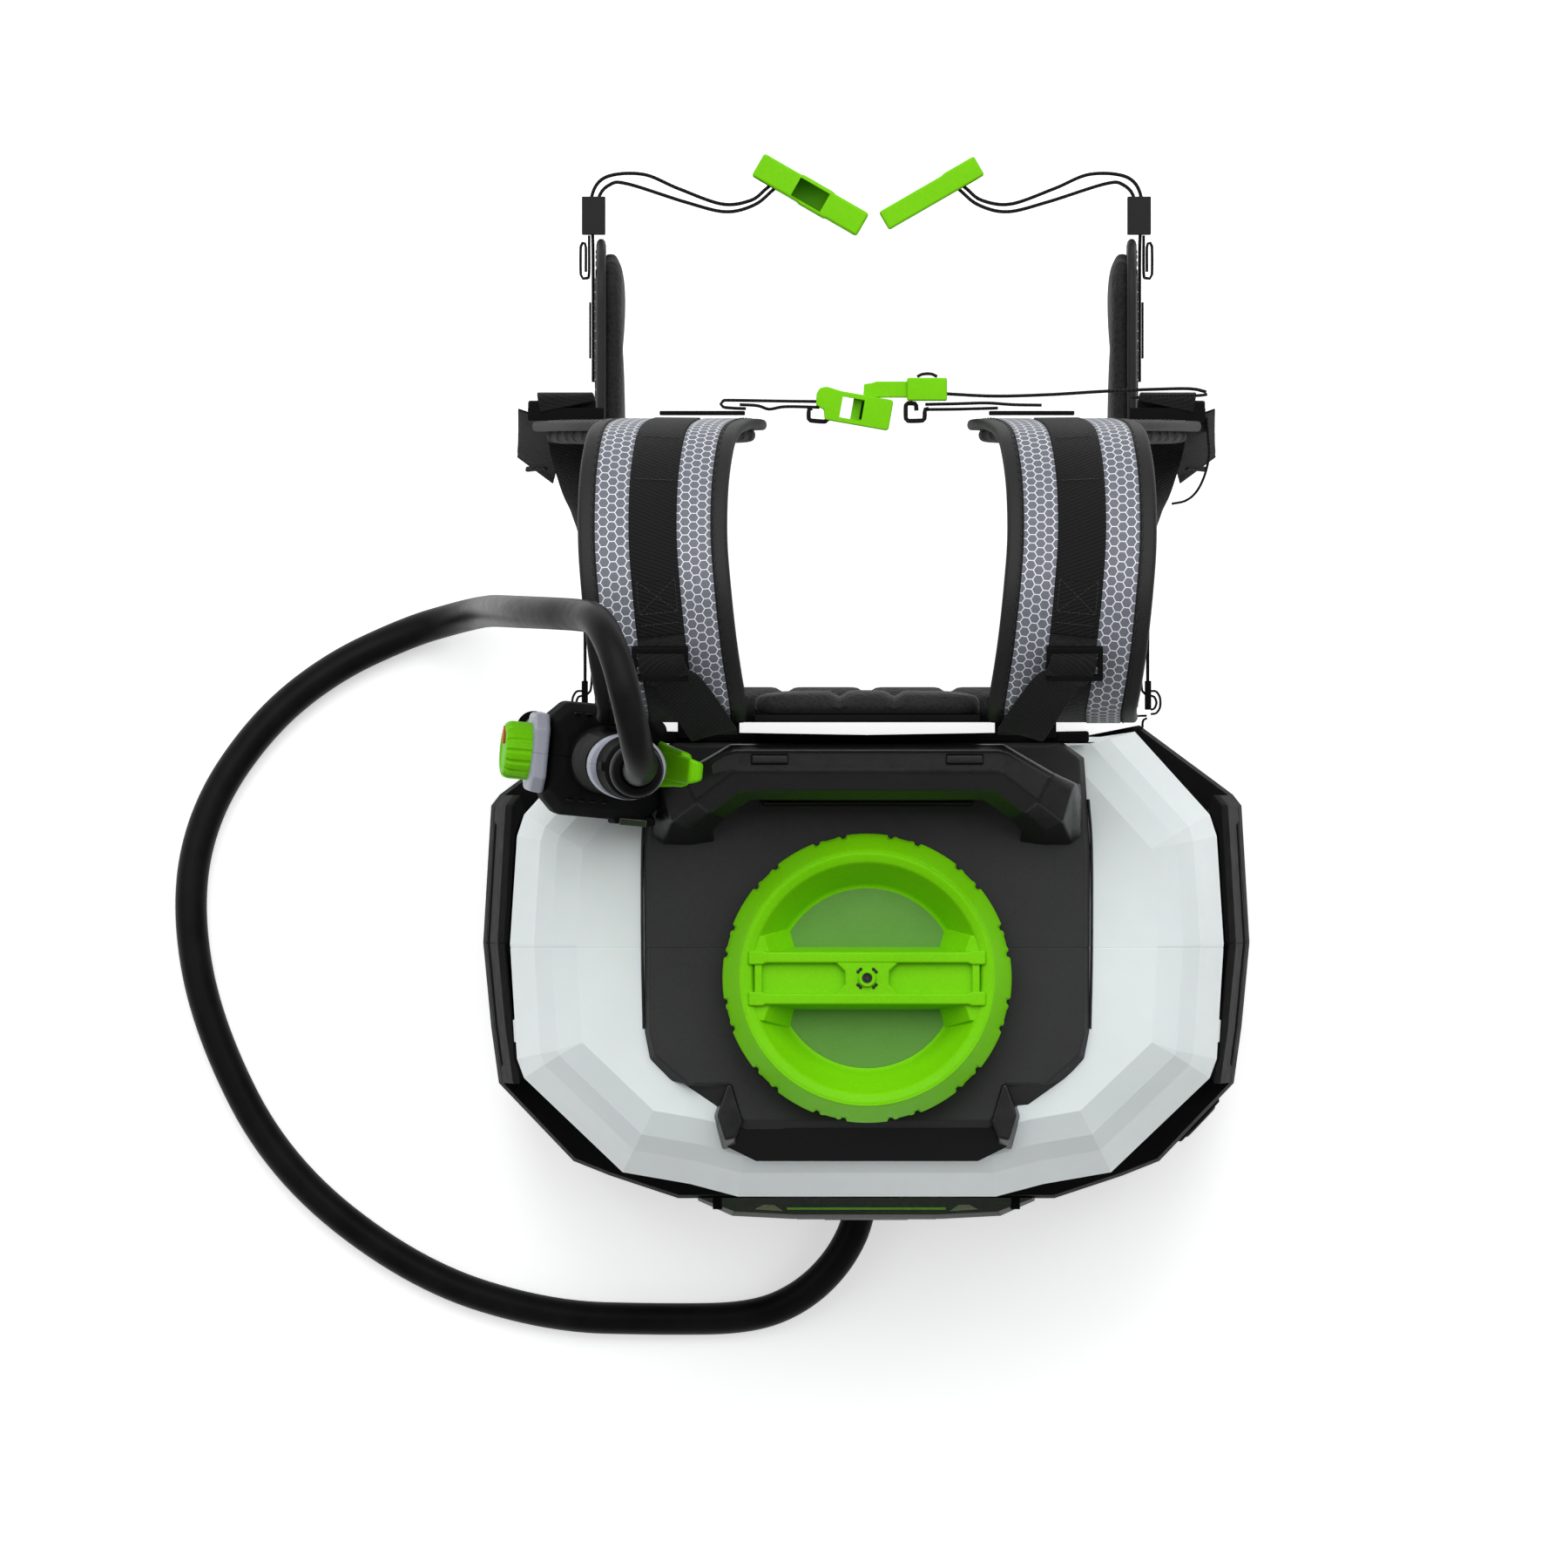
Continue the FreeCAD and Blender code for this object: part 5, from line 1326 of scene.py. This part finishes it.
DECK_SKIRT = [(67, -101, 396.5), (77.5, -100.5, 396.5), (83.6, -91, 396.6), (84.6, -83.6, 396.8),
              (112, -63, 397.2), (119.6, -52.5, 399.6), (122.4, -38, 399.8), (123, 62, 399.8),
              (119.6, 113, 400.2), (107, 122, 400.2)]
DECK_EDGE = [(67, -88, 407.2), (70.5, -86, 407.2), (75.2, -78, 407.2), (77, -67.6, 407.2),
             (97, -67.6, 407.2), (116.5, -50.5, 406.6), (119.4, -38, 406.6), (119.6, 62, 406.6),
             (116.6, 112, 406.6), (105, 120.5, 406.6)]
DECK_PLANE = [(66.4, -86.6, 408.6), (69.4, -84.8, 408.6), (73.8, -77, 408.6), (75.6, -66.2, 408.6),
              (94.6, -66.2, 408.4), (95.6, -52, 408.4), (95.6, -38, 408.4), (95.6, 62, 408.4),
              (95.6, 111, 408.4), (95.6, 119, 408.4)]
NECK_HOLE_R = 70.0


def make_deck():
    deck = loft("deck", [full_outline(half) for half in (DECK_SKIRT, DECK_EDGE, DECK_PLANE)], "deck", ROOT,
                0.9, 3, 10.0, seam=(SEAM_Y, 0.9, 0.35), smooth=40.0, weighted=False,
                stands_for=["top_deck"])
    carve(deck, filler_cylinder(NECK_HOLE_R))
    # upright wedge between the deck and each end of the badge, and thin dark tubes along the joint of deck
    # and tank: painted shade of the gap there
    base = [(66.8, -87.5), (71.5, -101.2), (79.5, -103), (84.5, -84), (77.5, -64.5), (73.5, -64.5)]
    top = [(68.4, -86.8), (72.4, -96.0), (78.0, -97.2), (82.2, -83.2), (76.8, -66.8), (74.2, -66.8)]
    lip = [(122.6, -36, 400.2), (123.4, 5, 400.4), (123.4, 62, 400.4), (121.6, 90, 400.6)]
    for side in (1, -1):
        loft("deck_wedge_" + side_word(side), [[(side * x, y, 397.5) for x, y in base],
                                               [(side * x, y, 410.5) for x, y in top]],
             "handle", width=1.2)
        # dark tube: painted shade of the gap between deck and tank
        tube("deck_lip_" + side_word(side), [(side * x, y, z) for x, y, z in lip], 0.8, "handle", sides=8)
    loft("deck_front_lip", [[(-57, 86.0, 408), (57, 86.0, 408), (59.5, 89.4, 408), (-59.5, 89.4, 408)],
                            [(-56, 87.0, 411), (56, 87.0, 411), (58, 88.8, 411), (-58, 88.8, 411)]],
         "handle", width=0.8)


# right half of the handle: corresponding corners at the bar's middle, its bend, the leg and the foot
HANDLE_STATIONS = [
    [(0, 92.5, 450), (0, 117.5, 450), (0, 120.3, 455), (0, 120.3, 467.5), (0, 118, 470), (0, 104.2, 470),
     (0, 95, 464.5), (0, 89.2, 455)],
    [(66, 92.5, 450), (74, 117.5, 450), (75, 120.3, 455), (75, 120.3, 467.5), (75, 118, 470),
     (73.5, 104.2, 470), (69, 95, 464.5), (63.3, 89.2, 455)],
    [(88, 78, 436), (101, 103, 436), (103, 104.2, 440), (103, 104.2, 457), (101, 102.4, 459.5),
     (94, 88.6, 459), (86.5, 82.5, 452), (78, 78.8, 441)],
    [(88, 80, 420), (112, 99, 420), (115.2, 98.6, 424), (115.2, 98.6, 443), (113, 95, 446),
     (108, 77.4, 443), (98, 72.5, 434), (84.7, 72.5, 424)],
    [(88, 80, 408), (112, 100.5, 408), (117.6, 98.6, 408), (118.2, 88, 408), (117.8, 70, 408),
     (112, 65, 408), (97, 64.6, 408), (83.4, 66.5, 408)],
]
HANDLE_GROOVE = [(71, 106.9), (80, 105.2), (87.5, 103.2), (86.5, 107.4), (83, 111.2), (78, 114.6),
                 (72, 116.4)]


def make_handle():
    rings = [[(-x, y, z) for x, y, z in ring] for ring in reversed(HANDLE_STATIONS[1:])]
    handle = loft("handle", rings + HANDLE_STATIONS, "handle", ROOT, 1.9, 4, 9.0, smooth=40.0,
                  weighted=False, stands_for=["carry_handle"])
    cutter = bmesh.new()
    add_rings(cutter, extrude(full_outline(HANDLE_GROOVE), 465.6, 475))
    carve(handle, plain_object(cutter))
    for side in (1, -1):
        x0, x1 = sorted((side * 43, side * 64))
        loft("handle_rib_" + side_word(side),
             [rectangle(x0, x1, 108.8, 115.2, 465.4), rectangle(x0 + 0.6, x1 - 0.6, 109.6, 114.4, 468.4)],
             "handle", width=0.9)
    rail = [(-122, 121), (122, 121), (122, 127.6), (60, 126.4), (0, 125.4), (-60, 126.4), (-122, 127.6)]
    loft("back_rail", extrude(rail, 399.0, 404.5), "black", width=1.6)


LID_STEPS = 360
LID_PROFILE = [
    # radius, height, share of the rim's notching
    (69.0, 411.0, 0), (77.6, 411.0, 1), (79.0, 411.8, 1), (79.4, 413.2, 1), (79.4, 431.0, 1),
    (79.2, 432.6, 1), (78.4, 434.6, 1), (77.0, 437.4, 0), (71.6, 448.6, 0), (70.9, 450.4, 0),
    (69.9, 451.8, 0), (68.8, 452.2, 0), (67.4, 452.0, 0), (64.4, 450.8, 0), (63.5, 450.2, 0),
    (62.7, 449.0, 0), (52.2, 432.4, 0), (51.2, 431.0, 0), (49.8, 430.2, 0), (47.5, 430.0, 0),
    (0.0, 430.0, 0), (0.0, 427.0, 0), (53.0, 427.0, 0), (58.0, 433.0, 0), (67.0, 433.0, 0),
    (69.0, 431.0, 0),
]


def rim_step(angle):
    """How far the rim is cut back: broad windows every 30 degrees with a tooth between them."""
    off = abs((math.degrees(angle) + 15) % 30 - 15)
    for limit, step in ((8.5, 0.0), (10.5, 1.7), (12.5, 0.3)):
        if off <= limit:
            return step
    return 0.8


def make_lid():
    lathe("lid", LID_PROFILE, "green", "lid", (0, FILLER_Y), LID_STEPS, cut=rim_step,
          stands_for=["lid_cap"])
    axis = Matrix.Translation(Vector((0, FILLER_Y, 0)) * MM)
    # a darker green sheet laid over the bowl's floor: painted shade
    lathe("lid_floor_painted_shade", [(0.0, 430.05), (0.0, 430.5), (48.6, 430.5), (49.4, 430.2), (49.4, 430.05)],
          "lid_floor_painted_shade", "lid", (0, FILLER_Y))
    # thin raised bead just inside the crest
    lathe("lid_bead", [(68.9, 451.4), (69.3, 452.2), (69.9, 452.3), (70.4, 451.6), (70.2, 450.8)],
          "green", "lid", (0, FILLER_Y))

    def grip(name, rings, width=0.8):
        loft(name, rings, "green", "lid", width, matrix=axis)

    grip("lid_grip", [rectangle(-58, 58, -17.3, 17.3, 429.5), rectangle(-61.5, 61.5, -14.2, 14.2, 446),
                      rectangle(-61.5, 61.5, -13.6, 13.6, 448.6)], 1.0)
    for side, word in ((1, "front"), (-1, "rear")):
        y0, y1 = sorted((side * 8.4, side * 14.4))
        low, high = sorted((side * 7.4, side * 15.2))
        outline = [(-65.2, low), (-57.5, low), (-55.5, y0), (55.5, y0), (57.5, low), (65.2, low),
                   (65.2, high), (57.5, high), (55.5, y1), (-55.5, y1), (-57.5, high), (-65.2, high)]
        grip("lid_rib_" + word, extrude(outline, 444, 453.0), 2.4)
    centre = full_outline([(19.5, -11.0), (16.0, -7.3), (12.2, -3.7), (12.2, 3.7), (16.0, 7.3),
                           (19.5, 11.0)])
    grip("lid_centre", extrude(centre, 446, 452.5), 1.2)
    # webs that square off the ends of both pockets beside the grip
    low = [(38.0, 14.0), (41.6, 27.6), (50.5, 27.6), (54.0, 14.0)]
    high = [(53.7, 14.0), (56.7, 23.3), (61.0, 23.3), (64.0, 14.0)]
    for k, (side, end) in enumerate(((1, 1), (1, -1), (-1, 1), (-1, -1))):
        grip("lid_web_%d" % k, [[(side * x, end * y, z) for x, y in ring]
                                for ring, z in ((low, 429.0), (high, 450.0))], 0.7)
    for side in (1, -1):
        x0, x1 = sorted((side * 57.6, side * 61.8))
        grip("lid_end_" + side_word(side), [rectangle(x0, x1, -9.9, 9.9, z) for z in (446, 451.6)])
    lathe("lid_boss", [(2.8, 451.0), (2.8, 454.0), (3.3, 454.5), (4.3, 454.5), (4.8, 454.0), (4.8, 452.4),
                       (7.4, 452.4), (7.9, 452.0), (7.9, 451.0)], "green", "lid", (0, FILLER_Y), 48,
          stands_for=["lid_vent"])
    lathe("lid_vent_core", [(0, 451.0), (0, 453.2), (1.1, 453.2), (1.5, 452.6), (2.8, 452.6),
                            (2.8, 451.0)], "rubber", "lid", (0, FILLER_Y), 32)
    bm = bmesh.new()
    for k in range(4):
        turn = math.radians(45 + 90 * k)
        for arc in (-18, 0):
            ends = [math.radians(arc + step) + turn for step in (0, 18)]
            add_capsule(bm, *(Vector((6.2 * math.cos(a), FILLER_Y + 6.2 * math.sin(a), 452.4))
                              for a in ends), 0.95)
    finish_piece("lid_vent_slots", bm, "rubber", "lid", 60.0, weighted=False)


make_tank()
make_deck()
make_handle()
make_lid()
make_buckles()


# ---- spray gun ----------------------------------------------------------------------------
GUN_ORIGIN = Vector((-125.3, 105.6, 590.0))
GUN_LEAN = 7.7
GUN_TIP_BACK = 1.9
GUN_YAW = -5.3
KNOB_HEIGHT = -155.0


def gun_matrix():
    """From the gun's own frame, its grip's axis upright, to the row frame."""
    turn = Matrix.Rotation(math.radians(GUN_YAW), 4, "Z")
    lean = Matrix.Rotation(math.radians(GUN_LEAN), 4, "Y")
    tip = Matrix.Rotation(math.radians(GUN_TIP_BACK), 4, "X")
    return Matrix.Translation(GUN_ORIGIN * MM) @ turn @ lean @ tip


def quarter_turned(matrix, place, axis):
    """A frame moved to a place, in mm, and turned by a quarter about one axis."""
    return matrix @ Matrix.Translation(Vector(place) * MM) @ Matrix.Rotation(-math.pi / 2, 4, axis)


def oval_ring(half_x, half_y, z, steps=48, power=2.0):
    """A ring from round (power 2) towards square (higher power)."""
    ring = []
    for k in range(steps):
        angle = 2 * math.pi * k / steps
        c, s = math.cos(angle), math.sin(angle)
        ring.append((half_x * math.copysign(abs(c) ** (2 / power), c),
                     half_y * math.copysign(abs(s) ** (2 / power), s), z))
    return ring


def chamfered(left, right, low, high, corner):
    """A rectangle with its four corners cut off."""
    return [(left, low + corner), (left + corner, low), (right - corner, low), (right, low + corner),
            (right, high - corner), (right - corner, high), (left + corner, high),
            (left, high - corner)]


def knob_flute(angle):
    return 1.25 * max(0.0, math.cos(16 * angle)) ** 0.5


def make_gun():
    place = gun_matrix()
    across = quarter_turned(place, (0, 0, KNOB_HEIGHT), "Y")
    # head: chamfered housing in two halves, drawn as one skin with a pressed seam
    levels = ((-27, 27, -25, 21, 8, -183), (-32, 34, -33, 29, 9, -174), (-32, 34, -33, 29, 9, -150),
              (-30, 29, -27, 25, 9, -139), (-24, 22, -20, 20, 9, -131))
    loft("gun_head", [[(x, y, z) for x, y in chamfered(*sides)] for *sides, z in levels], "black", ROOT,
         2.2, 3, 8.0, place, (0, 0.7, 0.4), 40.0, stands_for=["gun_shell_left", "gun_shell_right"])
    # grip: smooth ovals that swell into the head
    stations = ((-150, 24, 21), (-138, 22.5, 19.6), (-128, 21, 18.4), (-118, 20.2, 17.6),
                (-104, 19.7, 17.1), (-90, 19.6, 17.0), (-76, 19.8, 17.1), (-64, 20.2, 17.3),
                (-57, 20.5, 17.5), (-56.2, 20.2, 17.2))
    loft("gun_grip", [oval_ring(a, b, z, 64, 2.3) for z, a, b in stations], "black", width=0,
         matrix=place, seam=(0, 0.7, 0.35), smooth=40.0)
    # ribbed soft grip patch on the palm side
    turns = [math.radians(a) for a in range(-50, 51, 10)]
    for k in range(9):
        arc = [(math.cos(a) * -20.6, math.sin(a) * 18.0, -118 + 6.2 * k) for a in turns]
        tube("gun_grip_rib_%d" % k, arc, 0.9, "rubber", sides=6).data.transform(place)
    # ring, end cap and hose socket
    stations = ((-56, 20.9, 17.6), (-55.3, 21.35, 18.0), (-45.2, 21.35, 18.0), (-44.0, 20.7, 17.3),
                (-44.0, 16.5, 15.5))
    loft("gun_ring", [oval_ring(a, b, z) for z, a, b in stations], "grey", width=0, matrix=place,
         seam=(0, 0.5, 0.3), smooth=40.0, stands_for=["grip_ring"])
    lathe("gun_cap", [(0, -46), (17.6, -46), (17.6, -40), (16.9, -36), (16.6, -22), (16.2, -17.5),
                      (15.2, -16.2), (13.9, -16.0), (13.6, -14.8), (13.4, -1.6), (12.6, -0.5),
                      (11.6, 0.0), (10.2, 0.0), (9.35, -0.8), (9.1, -2.0), (9.1, -14.0), (0, -14.0)],
          "black", steps=64, matrix=place, stands_for=["gun_end_cap"])
    lathe("gun_cap_ring", [(13.3, -9.5), (14.4, -9.2), (14.8, -8.2), (14.8, -5.2), (14.4, -4.2),
                           (13.3, -4.0)], "rubber", steps=64, matrix=place)
    block("gun_cap_key", (-18.2, -2.4, -34), (-13.5, 2.4, -17.4), "black", width=0.6, matrix=place)
    # collar and fluted knob
    levels = ((-32.2, 21.0, 19.0), (-34.0, 22.0, 20.0), (-39.6, 21.4, 19.4), (-41.0, 19.4, 17.4))
    loft("gun_collar", [[(x, y, z + KNOB_HEIGHT) for y, z in chamfered(-a, a, -b, b, 8)]
                        for x, a, b in levels], "grey", ROOT, 0.9, 3, 15.0, place, (0, 0.5, 0.3), 40.0,
         stands_for=["knob_collar"])
    lathe("knob", KNOB_PROFILE, "green", "pressure_knob", steps=192, matrix=across, cut=knob_flute,
          stands_for=["pressure_knob"])
    block("knob_pointer", (-1.3, 3.0, 54.6), (1.3, 12.8, 55.9), "orange", "pressure_knob", 0.3,
          matrix=across)
    # trigger: hooked lever with side wings, both narrower towards their front
    lever = [(19, -152), (28, -155), (36, -144), (39.5, -120), (44, -84), (45.8, -74), (43, -69.6),
             (37, -69.8), (35.5, -80), (32, -112), (27.5, -138), (19, -143)]
    wings = [(24.5, -146), (31, -148), (38.3, -132), (41.0, -104), (41.6, -92), (35.0, -92),
             (32.8, -110), (28, -138)]
    for name, outline, half, start, slope, width, nodes in (
            ("trigger_lever", lever, 8.2, 34, 0.3, 1.9, ["trigger"]),
            ("trigger_wings", wings, 13.4, 26, 0.32, 2.4, [])):
        loft(name, [[(x, side * (half - max(0.0, x - start) * slope), z) for x, z in outline]
                    for side in (-1, 1)], "green", "trigger", width, 3, 12.0, place, smooth=40.0,
             stands_for=nodes)
    lathe("trigger_hub", [(2.05, -13.5), (4.2, -13.5), (4.5, -13.1), (4.5, 13.1), (4.2, 13.5),
                          (2.05, 13.5)], "green", "trigger", steps=32,
          matrix=quarter_turned(place, (24.0, 0, -148.0), "X"))
    # bracket with a smoked window under the head, and vent slots on both cheeks, drawn as dark gloss
    # blocks: painted shade in place of the slots' hollows
    block("gun_bracket", (8, -35.6, -168), (33, -29, -148), "black", width=1.4, taper=1.0, matrix=place)
    block("gun_window", (12, -35.4, -149), (27, -31.4, -146.8), "smoked", width=0.5, matrix=place)
    for side, word in ((1, "front"), (-1, "rear")):
        y0, y1 = sorted((side * 23.2, side * 24.2))
        for k in range(4):
            x = -20 + 6.5 * k
            block("gun_vent_%s_%d" % (word, k), (x, y0, -136.4), (x + 3.4, y1, -134.2), "gloss",
                  width=0.3, matrix=place)


KNOB_PROFILE = [
    # radius, distance from the grip's axis, share of the fluting
    (0.0, 38.6, 0), (13.4, 38.6, 0), (15.2, 39.0, 0.2), (15.85, 40.0, 0.2), (15.85, 51.2, 1),
    (15.4, 53.0, 1), (14.2, 54.6, 0.5), (12.6, 55.2, 0), (11.4, 55.2, 0), (10.6, 54.4, 0),
    (0.0, 54.4, 0),
]


# ---- battery door -------------------------------------------------------------------------
DOOR_FRONT = [(41.1, -142.4), (74.2, -140.7), (93.3, -132.2)]
DOOR_BACK_Y = -130.4
DOOR_CAVITY = [(41.1, -139.6), (71, -138.2), (85, -132.6), (85, -128)]


def door_ring(z, step=0.0):
    """The door's plan outline at one height, with its front drawn in by a step."""
    half = [(x - step * 0.6, min(y + step, -131.0), z) for x, y in DOOR_FRONT]
    return full_outline(half + [(half[-1][0], DOOR_BACK_Y, z)])


def make_door():
    low, high = [c.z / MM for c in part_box("battery_door")]
    body = "battery_door"
    levels = ((low + 0.2, 5.5), (low + 9, 0.6), (low + 11, 0.0), (high - 3.5, 0.0), (high - 0.6, 2.6))
    door = loft("door", [door_ring(*level) for level in levels], "smoked", body, 0.8, 3, 12.0,
                smooth=40.0, weighted=False, stands_for=["battery_door"])
    hollow = bmesh.new()
    add_rings(hollow, extrude(full_outline(DOOR_CAVITY), low + 5, high - 9))
    carve(door, plain_object(hollow))
    # frame lines of an inset trapezoid on the front face, and the glowing strip along the top
    front = -142.4

    def plate(name, levels, look, width):
        """A raised trapezoid: (half width below, half width above, y, z below, z above) per level."""
        loft(name, [[(-a, y, z0), (a, y, z0), (b, y, z1), (-b, y, z1)] for a, b, y, z0, z1 in levels],
             look, body, width)

    plate("door_panel", [(34, 40, front + 1.2, low + 16, high - 12),
                         (33, 38.6, front - 0.3, low + 17.5, high - 13.2)], "gloss", 0.5)
    for k in range(3):
        z = low + 26 + 14 * k
        plate("door_vent_%d" % k, [(22, 24, front, z, z + 5), (21, 23, front - 0.8, z + 0.8, z + 4.2)],
              "handle", 0.3)
    block("door_glow", (-44, -137.2, high - 1.0), (44, -135.9, high), "glow", body, 0.25)
    pane = [(46, -138.0), (62, -137.0), (57, -134.4), (51, -134.4)]
    for side in (1, -1):
        loft("door_pane_" + side_word(side),
             extrude([(side * x, y) for x, y in pane], high - 1.2, high - 0.3), "pane", body, 0.2)
    # moulded slots in the base's rear wall above the door, drawn as dark gloss blocks on the wall: painted
    # shade in place of the slots' hollows
    for side in (1, -1):
        x0, x1 = sorted((side * 18, side * 50))
        block("rear_slot_" + side_word(side), (x0, -130.6, 141.2), (x1, -128.6, 144.0), "gloss", width=0.5)


# ---- power button -------------------------------------------------------------------------
BUTTON_PLACE = (184.0, -87.6, 92.0)
BUTTON_FACING = (0.723, -0.691, 0.0)


def make_button():
    turn = Vector(BUTTON_FACING).normalized().to_track_quat("Z", "Y").to_matrix().to_4x4()
    place = Matrix.Translation(Vector(BUTTON_PLACE) * MM) @ turn
    lathe("button", [(0, -9), (14, -9), (14, -7.2), (11.9, -7.0), (11.9, 1.4), (11.2, 2.3), (9.8, 2.5),
                     (8.6, 1.9), (0, 1.5)], "rubber", "power_button", steps=64, matrix=place,
          stands_for=["power_button"])
    lathe("button_bezel", [(12.5, -1.5), (12.5, 0.9), (13.2, 1.6), (15.2, 1.6), (16.2, 0.6),
                           (16.4, -1.5)], "black", steps=64, matrix=place)
    lathe("button_lamp", [(0, 1.4), (3.0, 1.4), (3.4, 1.9), (2.9, 2.4), (0, 2.6)], "pane",
          "power_button", steps=32, matrix=place)


make_gun()
make_door()
make_button()
